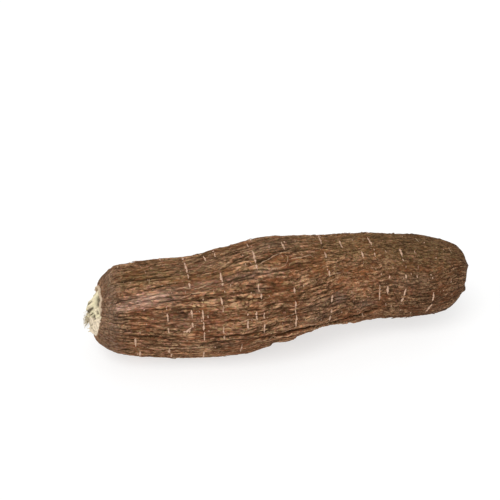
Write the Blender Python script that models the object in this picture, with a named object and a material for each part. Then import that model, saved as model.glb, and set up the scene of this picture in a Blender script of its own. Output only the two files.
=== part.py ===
"""A cassava root for Blender 4.5, lying on its belly. Metres, +Z up.

The root is one grown piece: a bark-covered spindle that is fattest at the middle, bowed, blunt at the tip
and broken off at the neck, where the pale wood shows. It runs along X with the broken neck at -X.
Its origin is the middle of its footprint, on the surface that it lies on.

Sizes are in millimetres until the points are made. Places on the bark are given by how far along the root
they are and by an angle in degrees: 0 at the back, 90 on top, 180 at the front and 270 underneath.
"""
import math
import random

import bmesh
import bpy
import numpy as np
from mathutils import Vector

MM = 0.001
SEED = 7

# Girth at places along the root: along, sideways bow, height of the middle, radius.
GIRTH = np.array((
    (-127, 3.0, 36.0, 26.8),
    (-110, 3.0, 35.3, 30.3),
    (-85, 1.0, 34.3, 32.9),
    (-60, -3.0, 35.0, 34.5),
    (-35, -5.5, 38.3, 37.5),
    (-10, -5.0, 40.7, 38.6),
    (15, -3.5, 40.8, 36.4),
    (40, -0.5, 41.2, 32.4),
    (65, 1.5, 41.0, 30.2),
    (90, -1.0, 39.8, 29.2),
    (115, -3.0, 39.0, 28.4),
    (139, -2.0, 38.8, 29.4),
), float)
TIP_END = 139.0
TIP_ROUND = 40.0
NECK_RIM = -127.0
NECK_ROUND = 15.0
NECK_RADIUS = 17.5

# The broken neck: the bark is a thin rim, and the wood inside stands out in a ragged hump, which rises
# from the rim to the middle as the profile says: share of the way out, share of the rise. The break
# slants: it is further along the root on top than underneath.
BARK_THICK = 1.3
RIM_STEP = 0.9
NECK_SLANT = 3.6
SLANT_FADE = 26.0
BREAK_RISE = 9.0
BREAK_TURN = math.radians(75)
BREAK_FLATTENING = 0.18
BREAK_PROFILE = ((1.0, 0.0), (0.92, 0.12), (0.75, 0.40), (0.52, 0.72), (0.27, 0.94))
LAYER_RISE = 0.8
GRAIN_RISE = 0.6
SPLINTERS = 14
SPLINTER_FOOT = 4.0
SPLINTER_REACH = (2.0, 4.5)
SPLINTER_WIDTH = (2.4, 4.4)
SPLINTER_THICK = 1.6
SPLINTER_LEAN = 0.2

# Bark: long plates with creases between them, one or more columns of points wide.
COLUMNS = 76
RING_STEP = 8.0
PLATE_LENGTH = 17.0
PLATE_HEIGHT = (0.35, 1.0)
CREASE_DEPTH = (0.4, 1.0)
CREASED_SHARE = 0.42
NECK_SMOOTH = 10.0
TIP_SMOOTH = 14.0
# The columns stray round the root in waves: how far, how many round it, length of a wave, start.
COLUMN_STRAYS = ((0.045, 3, 119, 0.0), (0.030, 7, -69, 1.3), (0.018, 13, 44, 0.4))
# Rings of points close to the neck and to the tip, as shares of the rounding there.
NECK_RINGS = (0.0, 0.03, 0.12, 0.32)
TIP_RINGS = (0.16, 0.08, 0.03, 0.008)

# Loose flakes of bark, the first of them along the ragged lower edge: along, angle.
RAGGED_EDGE = ((14, 214), (23, 207), (33, 202), (42, 205), (52, 200), (61, 207))
FLAKES = 24
FLAKED_LENGTH = (-105, 110)
FLAKED_TURN = (-60, 240)
FLAKE_LENGTH = (8.0, 14.0)
FLAKE_WIDTH = (2.8, 5.0)
FLAKE_RISE = 1.3
FLAKE_ROOT = 2.2

# Pale scars that cross the ridges: place along the root, then the arcs that are raised there.
SCAR_RINGS = (
    (-101, ((184, 200), (208, 226))),
    (-81, ((142, 178), (200, 218))),
    (-65, ((76, 114), (123, 131), (152, 176))),
    (-57, ((154, 188), (206, 224))),
    (-44, ((80, 90), (114, 126), (142, 156), (174, 192))),
    (-31, ((160, 178), (202, 211))),
    (-18, ((92, 118), (134, 150), (156, 188))),
    (5, ((84, 102), (143, 150), (157, 186))),
    (30, ((80, 98), (110, 118), (134, 142), (158, 176), (184, 195))),
    (67, ((96, 106), (121, 128), (166, 184))),
    (85, ((111, 126), (152, 159), (168, 192))),
    (105, ((178, 210),)),
)
SCAR_HEIGHT = 0.55
SCAR_HALF_WIDTH = 1.0
# The rings lean and wave along the root a little: how far, length of a wave.
RING_STRAY = (1.1, 107)
# The underside and the back have scars on the same rings, at random: where, how long, how far apart.
UNSEEN_SIDE = (240, 430)
UNSEEN_SCAR = (8, 26)
UNSEEN_GAP = (14, 60)

# Folds: long low swellings that wind a little round the root.
# From and to along it, angle at each end, half width in degrees, height.
FOLDS = (
    (-118, 12, 148, 106, 7, 1.0),
    (-110, 25, 199, 192, 9, 0.8),
    (-20, 95, 158, 150, 8, 0.7),
    (-95, 20, 285, 320, 9, 0.9),
    (-60, 70, 30, 12, 8, 0.9),
    (10, 110, 235, 222, 8, 0.7),
    (-105, -30, 62, 70, 7, 0.8),
    (30, 118, 62, 78, 8, 0.7),
)
FOLD_ENDS = 18.0
# Swellings and dents: along, angle, half length, half width in degrees, height. The first is the belly.
SWELLINGS = (
    (12, 277, 26, 19, 4.2),
    (-75, 272, 20, 20, -1.2),
    (34, 205, 15, 22, -1.2),
    (-96, 225, 18, 25, 0.9),
    (-40, 75, 22, 22, -0.8),
    (-12, 350, 26, 28, 1.2),
    (60, 340, 20, 24, -1.3),
    (78, 120, 22, 26, 0.8),
    (-75, 20, 20, 22, -1.1),
    (108, 30, 16, 30, 0.9),
    (100, 250, 18, 26, 1.0),
    (22, 238, 11, 24, -4.4),
    (-2, 238, 12, 24, -1.5),
    (123, 236, 8, 22, 2.4),
    (-124, 240, 6, 26, -1.2),
    (-68, 240, 12, 20, 0.8),
    (-14, 236, 8, 22, -1.6),
)
# The section is a little out of round: height, waves round it, where they start, degrees per mm.
OUT_OF_ROUND = ((0.35, 2, -60, 0.6), (0.30, 3, 40, -0.9))

# The flat spot that the root lies on, where the bark is worn smooth.
FLAT_CUT = 1.5
FLAT_SPAN = (-60, 16)
FLAT_FADE = 12.0
FLAT_HALF_TURN = 17.0

BARK_COLOUR = (0.17, 0.085, 0.052, 1.0)
BARK_ROUGHNESS = 0.85
WOOD_COLOUR = (0.72, 0.58, 0.34, 1.0)
WOOD_ROUGHNESS = 0.7
SHARP_EDGE = math.radians(50)

BARK, WOOD = 0, 1
TURNS = np.arange(COLUMNS) * math.tau / COLUMNS


def turned_apart(a, b):
    """Angle in degrees from b to a, from -180 to 180."""
    return (a - b + 180) % 360 - 180


def bell(value):
    """1 at 0, and falling smoothly on both sides."""
    return np.exp(-0.5 * value**2)


def eased(value):
    """0 at or below 0, 1 at or above 1, and smooth between."""
    value = np.clip(value, 0, 1)
    return value * value * (3 - 2 * value)


def girth(x):
    """Sideways bow, height of the middle and radius at x, on a smooth curve through the stations."""
    along = GIRTH[:, 0]
    left = int(np.clip(np.searchsorted(along, x) - 1, 0, len(along) - 2))
    step = along[left + 1] - along[left]
    t = (x - along[left]) / step
    slope = np.gradient(GIRTH[:, 1:], along, axis=0)
    bow, height, radius = (
        (2 * t**3 - 3 * t**2 + 1) * GIRTH[left, 1:]
        + (t**3 - 2 * t**2 + t) * step * slope[left]
        + (3 * t**2 - 2 * t**3) * GIRTH[left + 1, 1:]
        + (t**3 - t**2) * step * slope[left + 1]
    )
    into_tip = np.clip((x - TIP_END + TIP_ROUND) / TIP_ROUND, 0, 1)
    into_neck = np.clip((NECK_RIM + NECK_ROUND - x) / NECK_ROUND, 0, 1)
    radius = NECK_RADIUS + (radius - NECK_RADIUS) * math.sqrt(1 - into_neck**2)
    return bow, height, radius * math.sqrt(1 - into_tip**2)


def lumps(x, degrees):
    """Height of the folds, swellings and dents over a round section."""
    height = sum(
        rise * np.cos(np.radians(count * degrees + start + twist * x))
        for rise, count, start, twist in OUT_OF_ROUND
    )
    for start, end, angle_start, angle_end, half_width, rise in FOLDS:
        share = np.clip((x - start) / (end - start), 0, 1)
        middle = angle_start + (angle_end - angle_start) * share
        ends = eased((x - start) / FOLD_ENDS) * eased((end - x) / FOLD_ENDS)
        height = height + rise * ends * bell(turned_apart(degrees, middle) / half_width)
    for along, angle, half_length, half_width, rise in SWELLINGS:
        beside = turned_apart(degrees, angle) / half_width
        height = height + rise * bell((x - along) / half_length) * bell(beside)
    return height


def surface_point(x, degrees):
    """A point on the bark, as it would be without plates and creases."""
    bow, height, radius = girth(x)
    out = radius + float(lumps(x, degrees))
    angle = math.radians(degrees)
    return Vector((x, bow + out * math.cos(angle), height + out * math.sin(angle)))


def surface_frame(x, degrees):
    """A point on the bark with the directions along the root, round it and out of it."""
    along = (surface_point(x + 1, degrees) - surface_point(x - 1, degrees)).normalized()
    angle = math.radians(degrees)
    out = Vector((0, math.cos(angle), math.sin(angle)))
    out = (out - along * out.dot(along)).normalized()
    return surface_point(x, degrees), along, out.cross(along), out


def plate_heights():
    """A function of the place along the root: how high or deep the bark is there in each column."""
    draw = np.random.default_rng(SEED)
    steps = math.ceil((TIP_END - NECK_RIM) / PLATE_LENGTH) + 3
    creased = draw.uniform(size=(steps, COLUMNS)) < CREASED_SHARE
    plates = draw.uniform(*PLATE_HEIGHT, (steps, COLUMNS))
    creases = draw.uniform(*CREASE_DEPTH, (steps, COLUMNS))
    heights = np.where(creased, -creases, plates)
    starts = draw.uniform(1, 2, COLUMNS)
    columns = np.arange(COLUMNS)

    def heights_at(x):
        place = (x - NECK_RIM) / PLATE_LENGTH + starts
        step = np.floor(place).astype(int)
        share = eased(2 * (place - step) - 0.5)
        return heights[step, columns] * (1 - share) + heights[step + 1, columns] * share

    return heights_at


def scar_arcs():
    """The scar rings, with arcs added on the side that isn't listed."""
    draw = random.Random(SEED)
    first, last = UNSEEN_SIDE
    rings = []
    for along, arcs in SCAR_RINGS:
        arcs = list(arcs)
        start = first + draw.uniform(*UNSEEN_GAP) / 2
        while start < last:
            length = draw.uniform(*UNSEEN_SCAR)
            arcs.append((start, min(start + length, last)))
            start += length + draw.uniform(*UNSEEN_GAP)
        rings.append((along, arcs))
    return rings


def on_an_arc(degrees, arcs):
    """1 for the columns that a scar crosses, else 0."""
    crossed = np.zeros_like(degrees)
    for start, end in arcs:
        off_middle = np.abs(turned_apart(degrees, (start + end) / 2))
        crossed = np.maximum(crossed, off_middle <= (end - start) / 2)
    return crossed


def flat_share(x, degrees):
    """1 over the flat spot, fading to 0 round it."""
    start, end = FLAT_SPAN
    along = eased((x - start + FLAT_FADE) / FLAT_FADE) * eased((end + FLAT_FADE - x) / FLAT_FADE)
    return along * eased(1.6 - np.abs(turned_apart(degrees, 270)) / FLAT_HALF_TURN)


def ring_places():
    """Places along the root, each with the scar arcs raised there: three for a scar, one elsewhere."""
    scars = []
    for along, arcs in scar_arcs():
        scars += [(along - SCAR_HALF_WIDTH, ()), (along, arcs), (along + SCAR_HALF_WIDTH, ())]
    neck = [NECK_RIM + NECK_ROUND * share for share in NECK_RINGS]
    tip = [TIP_END - TIP_ROUND * share for share in TIP_RINGS]
    places = scars + [(place, ()) for place in neck + tip]
    taken = sorted(place for place, _ in places)
    for low, high in zip(taken, taken[1:]):
        parts = round((high - low) / RING_STEP)
        places += [(low + (high - low) * k / parts, ()) for k in range(1, parts)]
    return sorted(places, key=lambda place: place[0])


def ring_points(place, arcs, heights_at):
    """The points of one ring of bark."""
    angles = TURNS - sum(
        far * np.sin(count * TURNS + place * math.tau / wave + start)
        for far, count, wave, start in COLUMN_STRAYS
    )
    degrees = np.degrees(angles) % 360
    bow, height, radius = girth(place)
    rough = (1 - flat_share(place, degrees)) * eased((place - NECK_RIM) / NECK_SMOOTH)
    rough = rough * eased((TIP_END - place) / TIP_SMOOTH)
    out = radius + lumps(place, degrees) * min(1.0, radius / NECK_RADIUS)
    out = out + rough * (heights_at(place) + SCAR_HEIGHT * on_an_arc(degrees, arcs))
    inside = eased((place - NECK_RIM) / NECK_ROUND - 1) * eased((TIP_END - place) / TIP_ROUND)
    far, wave = RING_STRAY
    x = place + inside * far * np.sin(2 * TURNS + place * math.tau / wave)
    x = x + NECK_SLANT * np.sin(angles) * eased(1 - (place - NECK_RIM) / SLANT_FADE)
    return np.stack([x, bow + out * np.cos(angles), height + out * np.sin(angles)], axis=1)


def break_rise(share, turns):
    """How far the broken wood stands out of the neck, at a share of the way to its edge.

    The slant of the break takes from it on top and adds to it underneath.
    """
    shares, rises = np.array(BREAK_PROFILE)[::-1].T
    turned = turns - BREAK_TURN
    hump = BREAK_RISE * np.interp(share, shares, rises)
    hump = hump * (1 - BREAK_FLATTENING * (1 - np.cos(2 * turned)))
    grain = NECK_RADIUS * share * np.cos(turned)
    layer = NECK_RADIUS * share * np.sin(turned)
    ragged = LAYER_RISE * np.sin(1.25 * layer + np.sin(0.3 * grain))
    ragged = ragged + GRAIN_RISE * np.sin(0.7 * grain + 0.5 * layer)
    return hump + ragged * eased(6 * (1 - share)) - NECK_SLANT * share * np.sin(turns)


def broken_face_rings():
    """Rings of the broken neck, from the bark's inner edge to near the middle, and the middle point."""
    bow, height, _ = girth(NECK_RIM)
    rings = []
    for share, _ in BREAK_PROFILE:
        out = (NECK_RADIUS - BARK_THICK) * share
        x = NECK_RIM + RIM_STEP - break_rise(share, TURNS)
        rings.append(np.stack([x, bow + out * np.cos(TURNS), height + out * np.sin(TURNS)], axis=1))
    return rings, (NECK_RIM + RIM_STEP - BREAK_RISE, bow, height)


def plain_material(name, colour, roughness):
    material = bpy.data.materials.new(name)
    material.use_nodes = True
    shader = material.node_tree.nodes["Principled BSDF"]
    shader.inputs["Base Color"].default_value = colour
    shader.inputs["Roughness"].default_value = roughness
    shader.inputs["Metallic"].default_value = 0.0
    material.diffuse_color = colour
    return material


def mesh_object(name, shape, materials, collection):
    """An object with the bmesh as its mesh, in the collection."""
    mesh = bpy.data.meshes.new(name)
    shape.to_mesh(mesh)
    shape.free()
    for material in materials:
        mesh.materials.append(material)
    made = bpy.data.objects.new(name, mesh)
    collection.objects.link(made)
    return made


def add_ring(shape, points):
    return [shape.verts.new(Vector(point) * MM) for point in points]


def add_face(shape, corners, material):
    face = shape.faces.new(corners)
    face.material_index = material
    face.smooth = True


def join_rings(shape, near, far, material):
    """Faces between two rings, from the one at smaller x to the other."""
    for k, corner in enumerate(near):
        following = (k + 1) % len(near)
        add_face(shape, (corner, far[k], far[following], near[following]), material)


def body(materials):
    """The whole root without its flakes and splinters: bark, tip and the broken face of the neck."""
    shape = bmesh.new()
    heights_at = plate_heights()
    bark = [add_ring(shape, ring_points(place, arcs, heights_at)) for place, arcs in ring_places()]
    for near, far in zip(bark, bark[1:]):
        join_rings(shape, near, far, BARK)
    bow, height, _ = girth(TIP_END)
    (tip,) = add_ring(shape, [(TIP_END, bow, height)])

    points, middle_point = broken_face_rings()
    wood = [add_ring(shape, ring) for ring in points]
    join_rings(shape, wood[0], bark[0], WOOD)
    for far, near in zip(wood, wood[1:]):
        join_rings(shape, near, far, WOOD)
    (middle,) = add_ring(shape, [middle_point])

    for k in range(COLUMNS):
        following = (k + 1) % COLUMNS
        add_face(shape, (bark[-1][k], tip, bark[-1][following]), BARK)
        add_face(shape, (wood[-1][following], middle, wood[-1][k]), WOOD)
    bmesh.ops.triangulate(shape, faces=shape.faces)
    return mesh_object("cassava_root", shape, materials, bpy.context.scene.collection)


def prism(name, low, high, material, collection):
    """A closed prism between two loops of as many points."""
    shape = bmesh.new()
    low, high = add_ring(shape, low), add_ring(shape, high)
    shape.faces.new(low[::-1])
    shape.faces.new(high)
    join_rings(shape, low, high, 0)
    bmesh.ops.recalc_face_normals(shape, faces=shape.faces)
    bmesh.ops.triangulate(shape, faces=shape.faces)
    mesh_object(name, shape, [material], collection)


def flake(number, place, draw, material, collection):
    """A shingle of bark: sunk at one end, and standing clear of the surface at its loose end."""
    centre, along, sideways, out = surface_frame(*place)
    length = draw.uniform(*FLAKE_LENGTH) * draw.choice((-1, 1))
    width = draw.uniform(*FLAKE_WIDTH)
    outline = (
        (-0.50, 0.35, -0.4),
        (0.38, 0.50, 0.85),
        (0.50, 0.05, 1.0),
        (0.42, -0.45, 0.7),
        (-0.50, -0.30, -0.4),
    )
    feet = [centre + along * length * a + sideways * width * b for a, b, _ in outline]
    low = [foot - out * FLAKE_ROOT for foot in feet]
    high = [foot + out * FLAKE_RISE * rise for foot, (_, _, rise) in zip(feet, outline)]
    prism(f"flake_{number}", low, high, material, collection)


def splinter(number, draw, material, collection):
    """A flat bundle of fibres in the broken neck, from inside the wood to a slanted, thinner end."""
    bow, height, _ = girth(NECK_RIM)
    turn = draw.uniform(0, math.tau)
    share = math.sqrt(draw.uniform(0.02, 0.8))
    out = (NECK_RADIUS - BARK_THICK) * share
    foot = Vector((NECK_RIM + SPLINTER_FOOT, bow + out * math.cos(turn), height + out * math.sin(turn)))
    reach = SPLINTER_FOOT + float(break_rise(share, turn)) + draw.uniform(*SPLINTER_REACH) * (1 - share)
    lean = Vector((-1, *(draw.uniform(-SPLINTER_LEAN, SPLINTER_LEAN) for _ in range(2))))
    end = foot + lean * reach
    spin = BREAK_TURN + draw.uniform(-0.5, 0.5)
    wide = Vector((0, math.cos(spin), math.sin(spin))) * draw.uniform(*SPLINTER_WIDTH) / 2
    thin = Vector((0, -math.sin(spin), math.cos(spin))) * SPLINTER_THICK / 2
    slant = Vector((draw.uniform(-1.6, 1.6), 0, 0))
    corners = ((-1, -1), (1, -1), (1, 1), (-1, 1))
    low = [foot + wide * a + thin * b for a, b in corners]
    high = [end + (wide * 0.6 + slant) * a + thin * 0.5 * b for a, b in corners]
    prism(f"splinter_{number}", low, high, material, collection)


def flakes_and_splinters(materials):
    """A collection of the small pieces that are to be joined to the root."""
    collection = bpy.data.collections.new("flakes and splinters")
    bpy.context.scene.collection.children.link(collection)
    draw = random.Random(SEED + 1)
    spots = list(RAGGED_EDGE)
    while len(spots) < FLAKES:
        spots.append((draw.uniform(*FLAKED_LENGTH), draw.uniform(*FLAKED_TURN)))
    for number, place in enumerate(spots):
        flake(number, place, draw, materials[BARK], collection)
    for number in range(SPLINTERS):
        splinter(number, draw, materials[WOOD], collection)
    return collection


def join_pieces(root, collection):
    """One union of the root with every object of the collection, which is then removed."""
    union = root.modifiers.new("flakes and splinters", "BOOLEAN")
    union.operation = "UNION"
    union.operand_type = "COLLECTION"
    union.collection = collection
    union.solver = "EXACT"
    union.material_mode = "TRANSFER"
    bpy.context.view_layer.objects.active = root
    bpy.ops.object.modifier_apply(modifier=union.name)
    for piece in list(collection.objects):
        bpy.data.objects.remove(piece)
    bpy.data.collections.remove(collection)


def set_down(root):
    """Trims the flat spot, and puts the origin under the middle of the footprint."""
    points = np.array([vertex.co for vertex in root.data.vertices])
    floor = points[:, 2].min() + FLAT_CUT * MM
    points[:, 2] = np.maximum(points[:, 2], floor)
    middle = (points.min(axis=0) + points.max(axis=0)) / 2
    points -= (middle[0], middle[1], floor)
    for vertex, point in zip(root.data.vertices, points):
        vertex.co = point
    root.data.update()


def main():
    for old in list(bpy.data.objects):
        bpy.data.objects.remove(old)
    materials = [
        plain_material("bark", BARK_COLOUR, BARK_ROUGHNESS),
        plain_material("broken_wood", WOOD_COLOUR, WOOD_ROUGHNESS),
    ]
    root = body(materials)
    join_pieces(root, flakes_and_splinters(materials))
    set_down(root)
    root.data.set_sharp_from_angle(angle=SHARP_EDGE)


main()
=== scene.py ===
"""Looks of a whole cassava root: its bark, scars and loose flakes, its broken neck and a pale studio.

Shapes are worked out in millimetres in the root's own growing frame and are moved into the CAD frame as
their points are made. A place on the bark is how far along the root it is and an angle in degrees:
0 at the back, 90 on top, 180 at the front and 270 underneath.
"""
import math
import random

import bmesh
import bpy
import numpy as np
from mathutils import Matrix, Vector


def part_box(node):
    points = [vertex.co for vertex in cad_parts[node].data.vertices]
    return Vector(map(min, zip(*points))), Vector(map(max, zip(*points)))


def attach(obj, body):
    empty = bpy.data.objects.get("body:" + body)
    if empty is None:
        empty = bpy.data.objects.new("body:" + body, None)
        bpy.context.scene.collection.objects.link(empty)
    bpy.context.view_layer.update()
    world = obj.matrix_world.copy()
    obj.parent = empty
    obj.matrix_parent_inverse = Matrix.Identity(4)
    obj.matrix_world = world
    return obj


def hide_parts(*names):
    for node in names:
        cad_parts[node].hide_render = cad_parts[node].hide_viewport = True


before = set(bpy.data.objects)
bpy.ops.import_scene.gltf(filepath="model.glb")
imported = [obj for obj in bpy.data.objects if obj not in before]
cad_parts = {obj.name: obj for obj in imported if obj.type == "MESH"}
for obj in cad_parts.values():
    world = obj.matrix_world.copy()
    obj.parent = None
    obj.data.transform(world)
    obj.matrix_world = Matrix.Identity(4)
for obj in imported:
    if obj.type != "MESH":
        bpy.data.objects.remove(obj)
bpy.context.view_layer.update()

bl_info = {
    "name": "Cassava root looks",
    "version": (1, 0, 0),
    "blender": (4, 5, 0),
    "location": "3D View > Sidebar > Cassava",
    "description": "Bark, scars, loose flakes, broken neck and a pale studio for a cassava root",
    "category": "Add Mesh",
}

MM = 0.001
SEED = 7
NODE = "cassava_root"
BODY = "root"

# Girth at places along the root: along, sideways bow, height of the middle, radius.
GIRTH = np.array((
    (-127, 3.0, 36.0, 26.8),
    (-110, 3.0, 35.3, 30.3),
    (-85, 1.0, 34.3, 32.9),
    (-60, -3.0, 35.0, 34.5),
    (-35, -5.5, 38.3, 37.5),
    (-10, -5.0, 40.7, 38.6),
    (15, -3.5, 40.8, 36.4),
    (40, -0.5, 41.2, 32.4),
    (65, 1.5, 41.0, 30.2),
    (90, -1.0, 39.8, 29.2),
    (115, -3.0, 39.0, 28.4),
    (139, -2.0, 38.8, 29.4),
), float)
TIP_END = 139.0
TIP_ROUND = 40.0
NECK_RIM = -127.0
NECK_ROUND = 15.0
NECK_RADIUS = 17.5
# The break slants: its upper edge lies this much further along, and the slant fades over this length.
NECK_SLANT = 3.6
SLANT_FADE = 26.0
# The CAD frame's origin in the growing frame: along, sideways, up.
ORIGIN = np.array((0.942, -4.670, 1.864))
# Noise on the bark is laid out on a round of this radius.
MEAN_RADIUS = 33.0
MEAN_ROUND = math.tau * MEAN_RADIUS
UNDERNEATH = 270

# Folds: from and to along the root, angle at each end, half width in degrees, height.
FOLDS = (
    (-118, 12, 148, 106, 7, 1.0),
    (-110, 25, 199, 192, 9, 0.8),
    (-20, 95, 158, 150, 8, 0.7),
    (-95, 20, 285, 320, 9, 0.9),
    (-60, 70, 30, 12, 8, 0.9),
    (10, 110, 235, 222, 8, 0.7),
    (-105, -30, 62, 70, 7, 0.8),
    (30, 118, 62, 78, 8, 0.7),
)
FOLD_ENDS = 18.0
# Swellings and dents: along, angle, half length, half width in degrees, height.
SWELLINGS = (
    (12, 277, 26, 19, 4.2),
    (-75, 272, 20, 20, -1.2),
    (34, 205, 15, 22, -1.2),
    (-96, 225, 18, 25, 0.9),
    (-40, 75, 22, 22, -0.8),
    (-12, 350, 26, 28, 1.2),
    (60, 340, 20, 24, -1.3),
    (78, 120, 22, 26, 0.8),
    (-75, 20, 20, 22, -1.1),
    (108, 30, 16, 30, 0.9),
    (100, 250, 18, 26, 1.0),
    (22, 238, 11, 24, -4.4),
    (-2, 238, 12, 24, -1.5),
    (123, 236, 8, 22, 2.4),
    (-124, 240, 6, 26, -1.2),
    (-68, 240, 12, 20, 0.8),
    (-14, 236, 8, 22, -1.6),
)
# This far before its end the tip's own pattern starts to take over, over this length.
CAP_LENGTH = 9.0
CAP_FADE = 7.0
# Stubs of rootlets on the tip: along, angle, half length, half width in degrees, height.
STUBS = (
    (136.5, 134, 1.0, 9, 1.4),
    (133, 208, 1.3, 3.5, 1.7),
)
# The tip is a little sunk all round, and full at its upper front.
TIP_SUNK = 1.6
SUNK_OVER = 8.0
TIP_LUMPS = ((131, 106, 5.5, 38, 2.4),)
# The section is a little out of round: height, waves round it, where they start, degrees per mm.
OUT_OF_ROUND = ((0.35, 2, -60, 0.6), (0.30, 3, 40, -0.9))
FLAT_SPAN = (-60, 16)
FLAT_FADE = 12.0
FLAT_HALF_TURN = 17.0
FLAT_EDGE = 1.6

# The bark's grain sways round the root in waves of these sizes, along and round it: how far, size.
GRAIN_SWAYS = ((4.0, (75, 38)), (0.9, (24, 10)), (0.35, (8, 3)))
# Noise is brought to about -1 to 1 by this, and a cell's middle lies within these shares of its square.
NOISE_GAIN = 1.7
CELL_MIDDLES = (0.12, 0.88)
# Plates and strips are shifted along the grain by up to this, and the sizes of the other noises.
PLATE_SHIFT = 4.0
PLATE_SHIFT_SIZE = (24, 5)
FIBRE_SIZE = (4.6, 1.0)
WRINKLE_SIZE = (2.2, 0.9)
SWELL_SIZE = (26, 9)
GAP_SIZE = (42, 15)
WORN_SIZES = ((1.0, (32, 11)), (0.5, (9, 3.0)))
# Heights that the bark's relief is made of, in millimetres, and how wide its creases and seams are.
SWELL_RISE = 0.24
PLATE_RISE = 0.34
STRIP_RISE = 0.24
PLATE_CROWN = 0.20
STRIP_CROWN = 0.16
FIBRE_RISE = 0.17
WRINKLE_RISE = 0.10
SEAM_DEPTH = 0.16
CREASE_WIDTH = 0.13
SEAM_WIDTH = 0.2
# Where the outer bark has worn away: from this much wear on, over this much.
PEEL_FROM = 0.1
PEEL_OVER = 0.14
# The relief is kept between these heights. This share of it is left at the neck, and it grows to the full
# relief over this length.
RELIEF_RANGE = (-2.2, 0.75)
CALM_NECK = 0.45
CALM_OVER = 9.0
# Towards the tip the relief gets calmer, the painted shade in the creases paler and the colours darker with
# painted shade: from where, over which length, by what share. The relief is nearly flat where the root
# rests.
CALMER_TIP = (40, 50, 0.35)
PALER_CREASES = (30, 60, 0.45)
DIMMER_TIP = (30, 80)
CALMER_FLAT = 0.8
# From here towards the tip the grain gets shorter, over this length.
SHORTER_FROM = 35.0
SHORTER_OVER = 16.0
SHORTER_BY = 1.0
# Near the neck too it is shorter.
NECK_SHORTER_TO = -113.0
NECK_SHORTER_OVER = 4.0
NECK_SHORTER_BY = 2.0
GRAIN_START = NECK_RIM - 90
GROOVE_FADE = 7.0
GROOVE_SWAY = (0.6, 2.3)
# Long creases that stand out: half width, depth, then places on the bark that they run through.
GROOVES = (
    (0.55, 0.8, (-119, 108), (-91, 110), (-85, 108.5), (-78, 108), (-74, 103), (-66, 95)),
    (0.50, 0.7, (-49, 112), (-45, 110), (-38, 109), (-32, 102.5), (-22, 101)),
    (0.65, 0.9, (-24, 116), (-21, 114.5), (-11, 111.5), (-3, 105.5), (8, 99)),
    (0.45, 0.6, (-100, 127), (-92, 124), (-84, 120), (-68, 118)),
    (0.40, 0.6, (-48, 128), (-40, 127.5), (-35, 126), (-26, 125), (-12, 128), (16, 124)),
    (0.40, 0.4, (-88, 141), (-62, 138), (-40, 141), (-22, 139)),
    (0.50, 0.7, (-66, 182), (-59, 182.5), (-52, 185.5), (-30, 187), (-14, 186)),
    (0.45, 0.6, (-66, 192), (-43, 191.5), (-30, 193), (-12, 195)),
    (0.50, 0.6, (-112, 184), (-95, 182.5), (-85, 183), (-74, 184)),
    (0.60, 1.1, (-18, 204), (5, 203), (17, 209), (30, 223), (44, 218), (60, 209)),
    (0.50, 0.7, (2, 212), (17, 217), (28, 230), (44, 226)),
    (0.40, 0.35, (-60, 170), (-40, 168), (-26, 169), (-8, 172)),
    (0.50, 0.6, (-80, 40), (-30, 46), (10, 52)),
    (0.50, 0.6, (-20, 330), (25, 324), (70, 318)),
)

# A ledge of loose bark low on the front: its path, how far it stands out, the gap over it, their widths.
LEDGE = np.array((
    (-20, 197), (-5, 196.5), (5, 194), (17, 201), (31, 214), (42, 209), (48, 209.5), (58, 202), (68, 202),
), float)
LEDGE_SWAYS = ((1.2, 2.7), (0.8, 1.3))
LEDGE_FADE = 8.0
LEDGE_RISE = 1.5
LEDGE_BELOW = 2.5
LEDGE_WIDTH = 1.1
LEDGE_GAP_DEPTH = 2.0
LEDGE_GAP_WIDTH = 0.6
# Under the ledge the loose bark ends in steps at these places. Between them it starts this far under the
# smooth form and grows thicker. The angle is its middle and half width.
SKIRT_STEPS = (-12, 5.5, 24, 50.5)
SKIRT_ANGLE = (233, 14)
SKIRT_RISE = 1.7
SKIRT_SUNK = 2.4
SKIRT_FADE = 10.0

# Patches of colour: along, angle, half length, half width in degrees, strength.
OLIVE_PATCHES = (
    (-92, 106, 28, 12, 0.9),
    (-30, 120, 18, 6, 0.5),
    (58, 92, 42, 26, 0.85),
    (104, 112, 26, 26, 0.7),
    (-60, 60, 30, 18, 0.6),
    (40, 10, 40, 30, 0.6),
    (-90, 300, 30, 25, 0.5),
)
SCUFFED_PATCHES = (
    (-113, 146, 5, 2.5, 1.0),
    (-103, 141, 8, 4.5, 1.0),
    (-92, 137, 9, 5.5, 0.9),
    (-82, 133, 7, 5, 0.5),
    (-60, 125, 14, 4, 0.5),
    (-22, 126, 12, 3.5, 0.5),
    (-50, 342, 12, 5, 0.7),
)
GREY_PATCHES = (
    (-121, 170, 6, 60, 0.8),
    (-121, 0, 6, 90, 0.75),
    (-22, 142, 2.5, 3, 1.0),
    (35, 168, 5, 5, 0.8),
    (55, 188, 5, 4, 1.0),
    (18, 187, 6, 4, 0.6),
    (-75, 165, 14, 8, 0.5),
    (-60, 96, 14, 8, 0.4),
    (-8, 92, 16, 10, 0.5),
    (20, 170, 12, 7, 0.4),
    (85, 160, 12, 8, 0.4),
    (-60, 195, 30, 5, 0.35),
)
RUSTY_PATCHES = (
    (-8, 116, 8, 4.5, 1.0),
    (-90, 148, 5, 2.5, 1.0),
    (-85, 128, 14, 3, 0.7),
    (-62, 160, 14, 5, 0.4),
    (-36, 165, 12, 5, 0.7),
    (-40, 134, 12, 4, 0.5),
    (12, 122, 14, 5, 0.5),
    (45, 150, 20, 8, 0.7),
    (82, 142, 3, 3, 1.0),
    (104, 140, 6, 4, 0.9),
    (109, 159, 4, 5, 1.0),
    (88, 170, 5, 5, 0.9),
    (65, 192, 5, 5, 0.9),
    (-95, 190, 20, 7, 0.5),
    (-70, 212, 40, 6, 0.5),
    (5, 205, 18, 8, 0.5),
)

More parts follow.
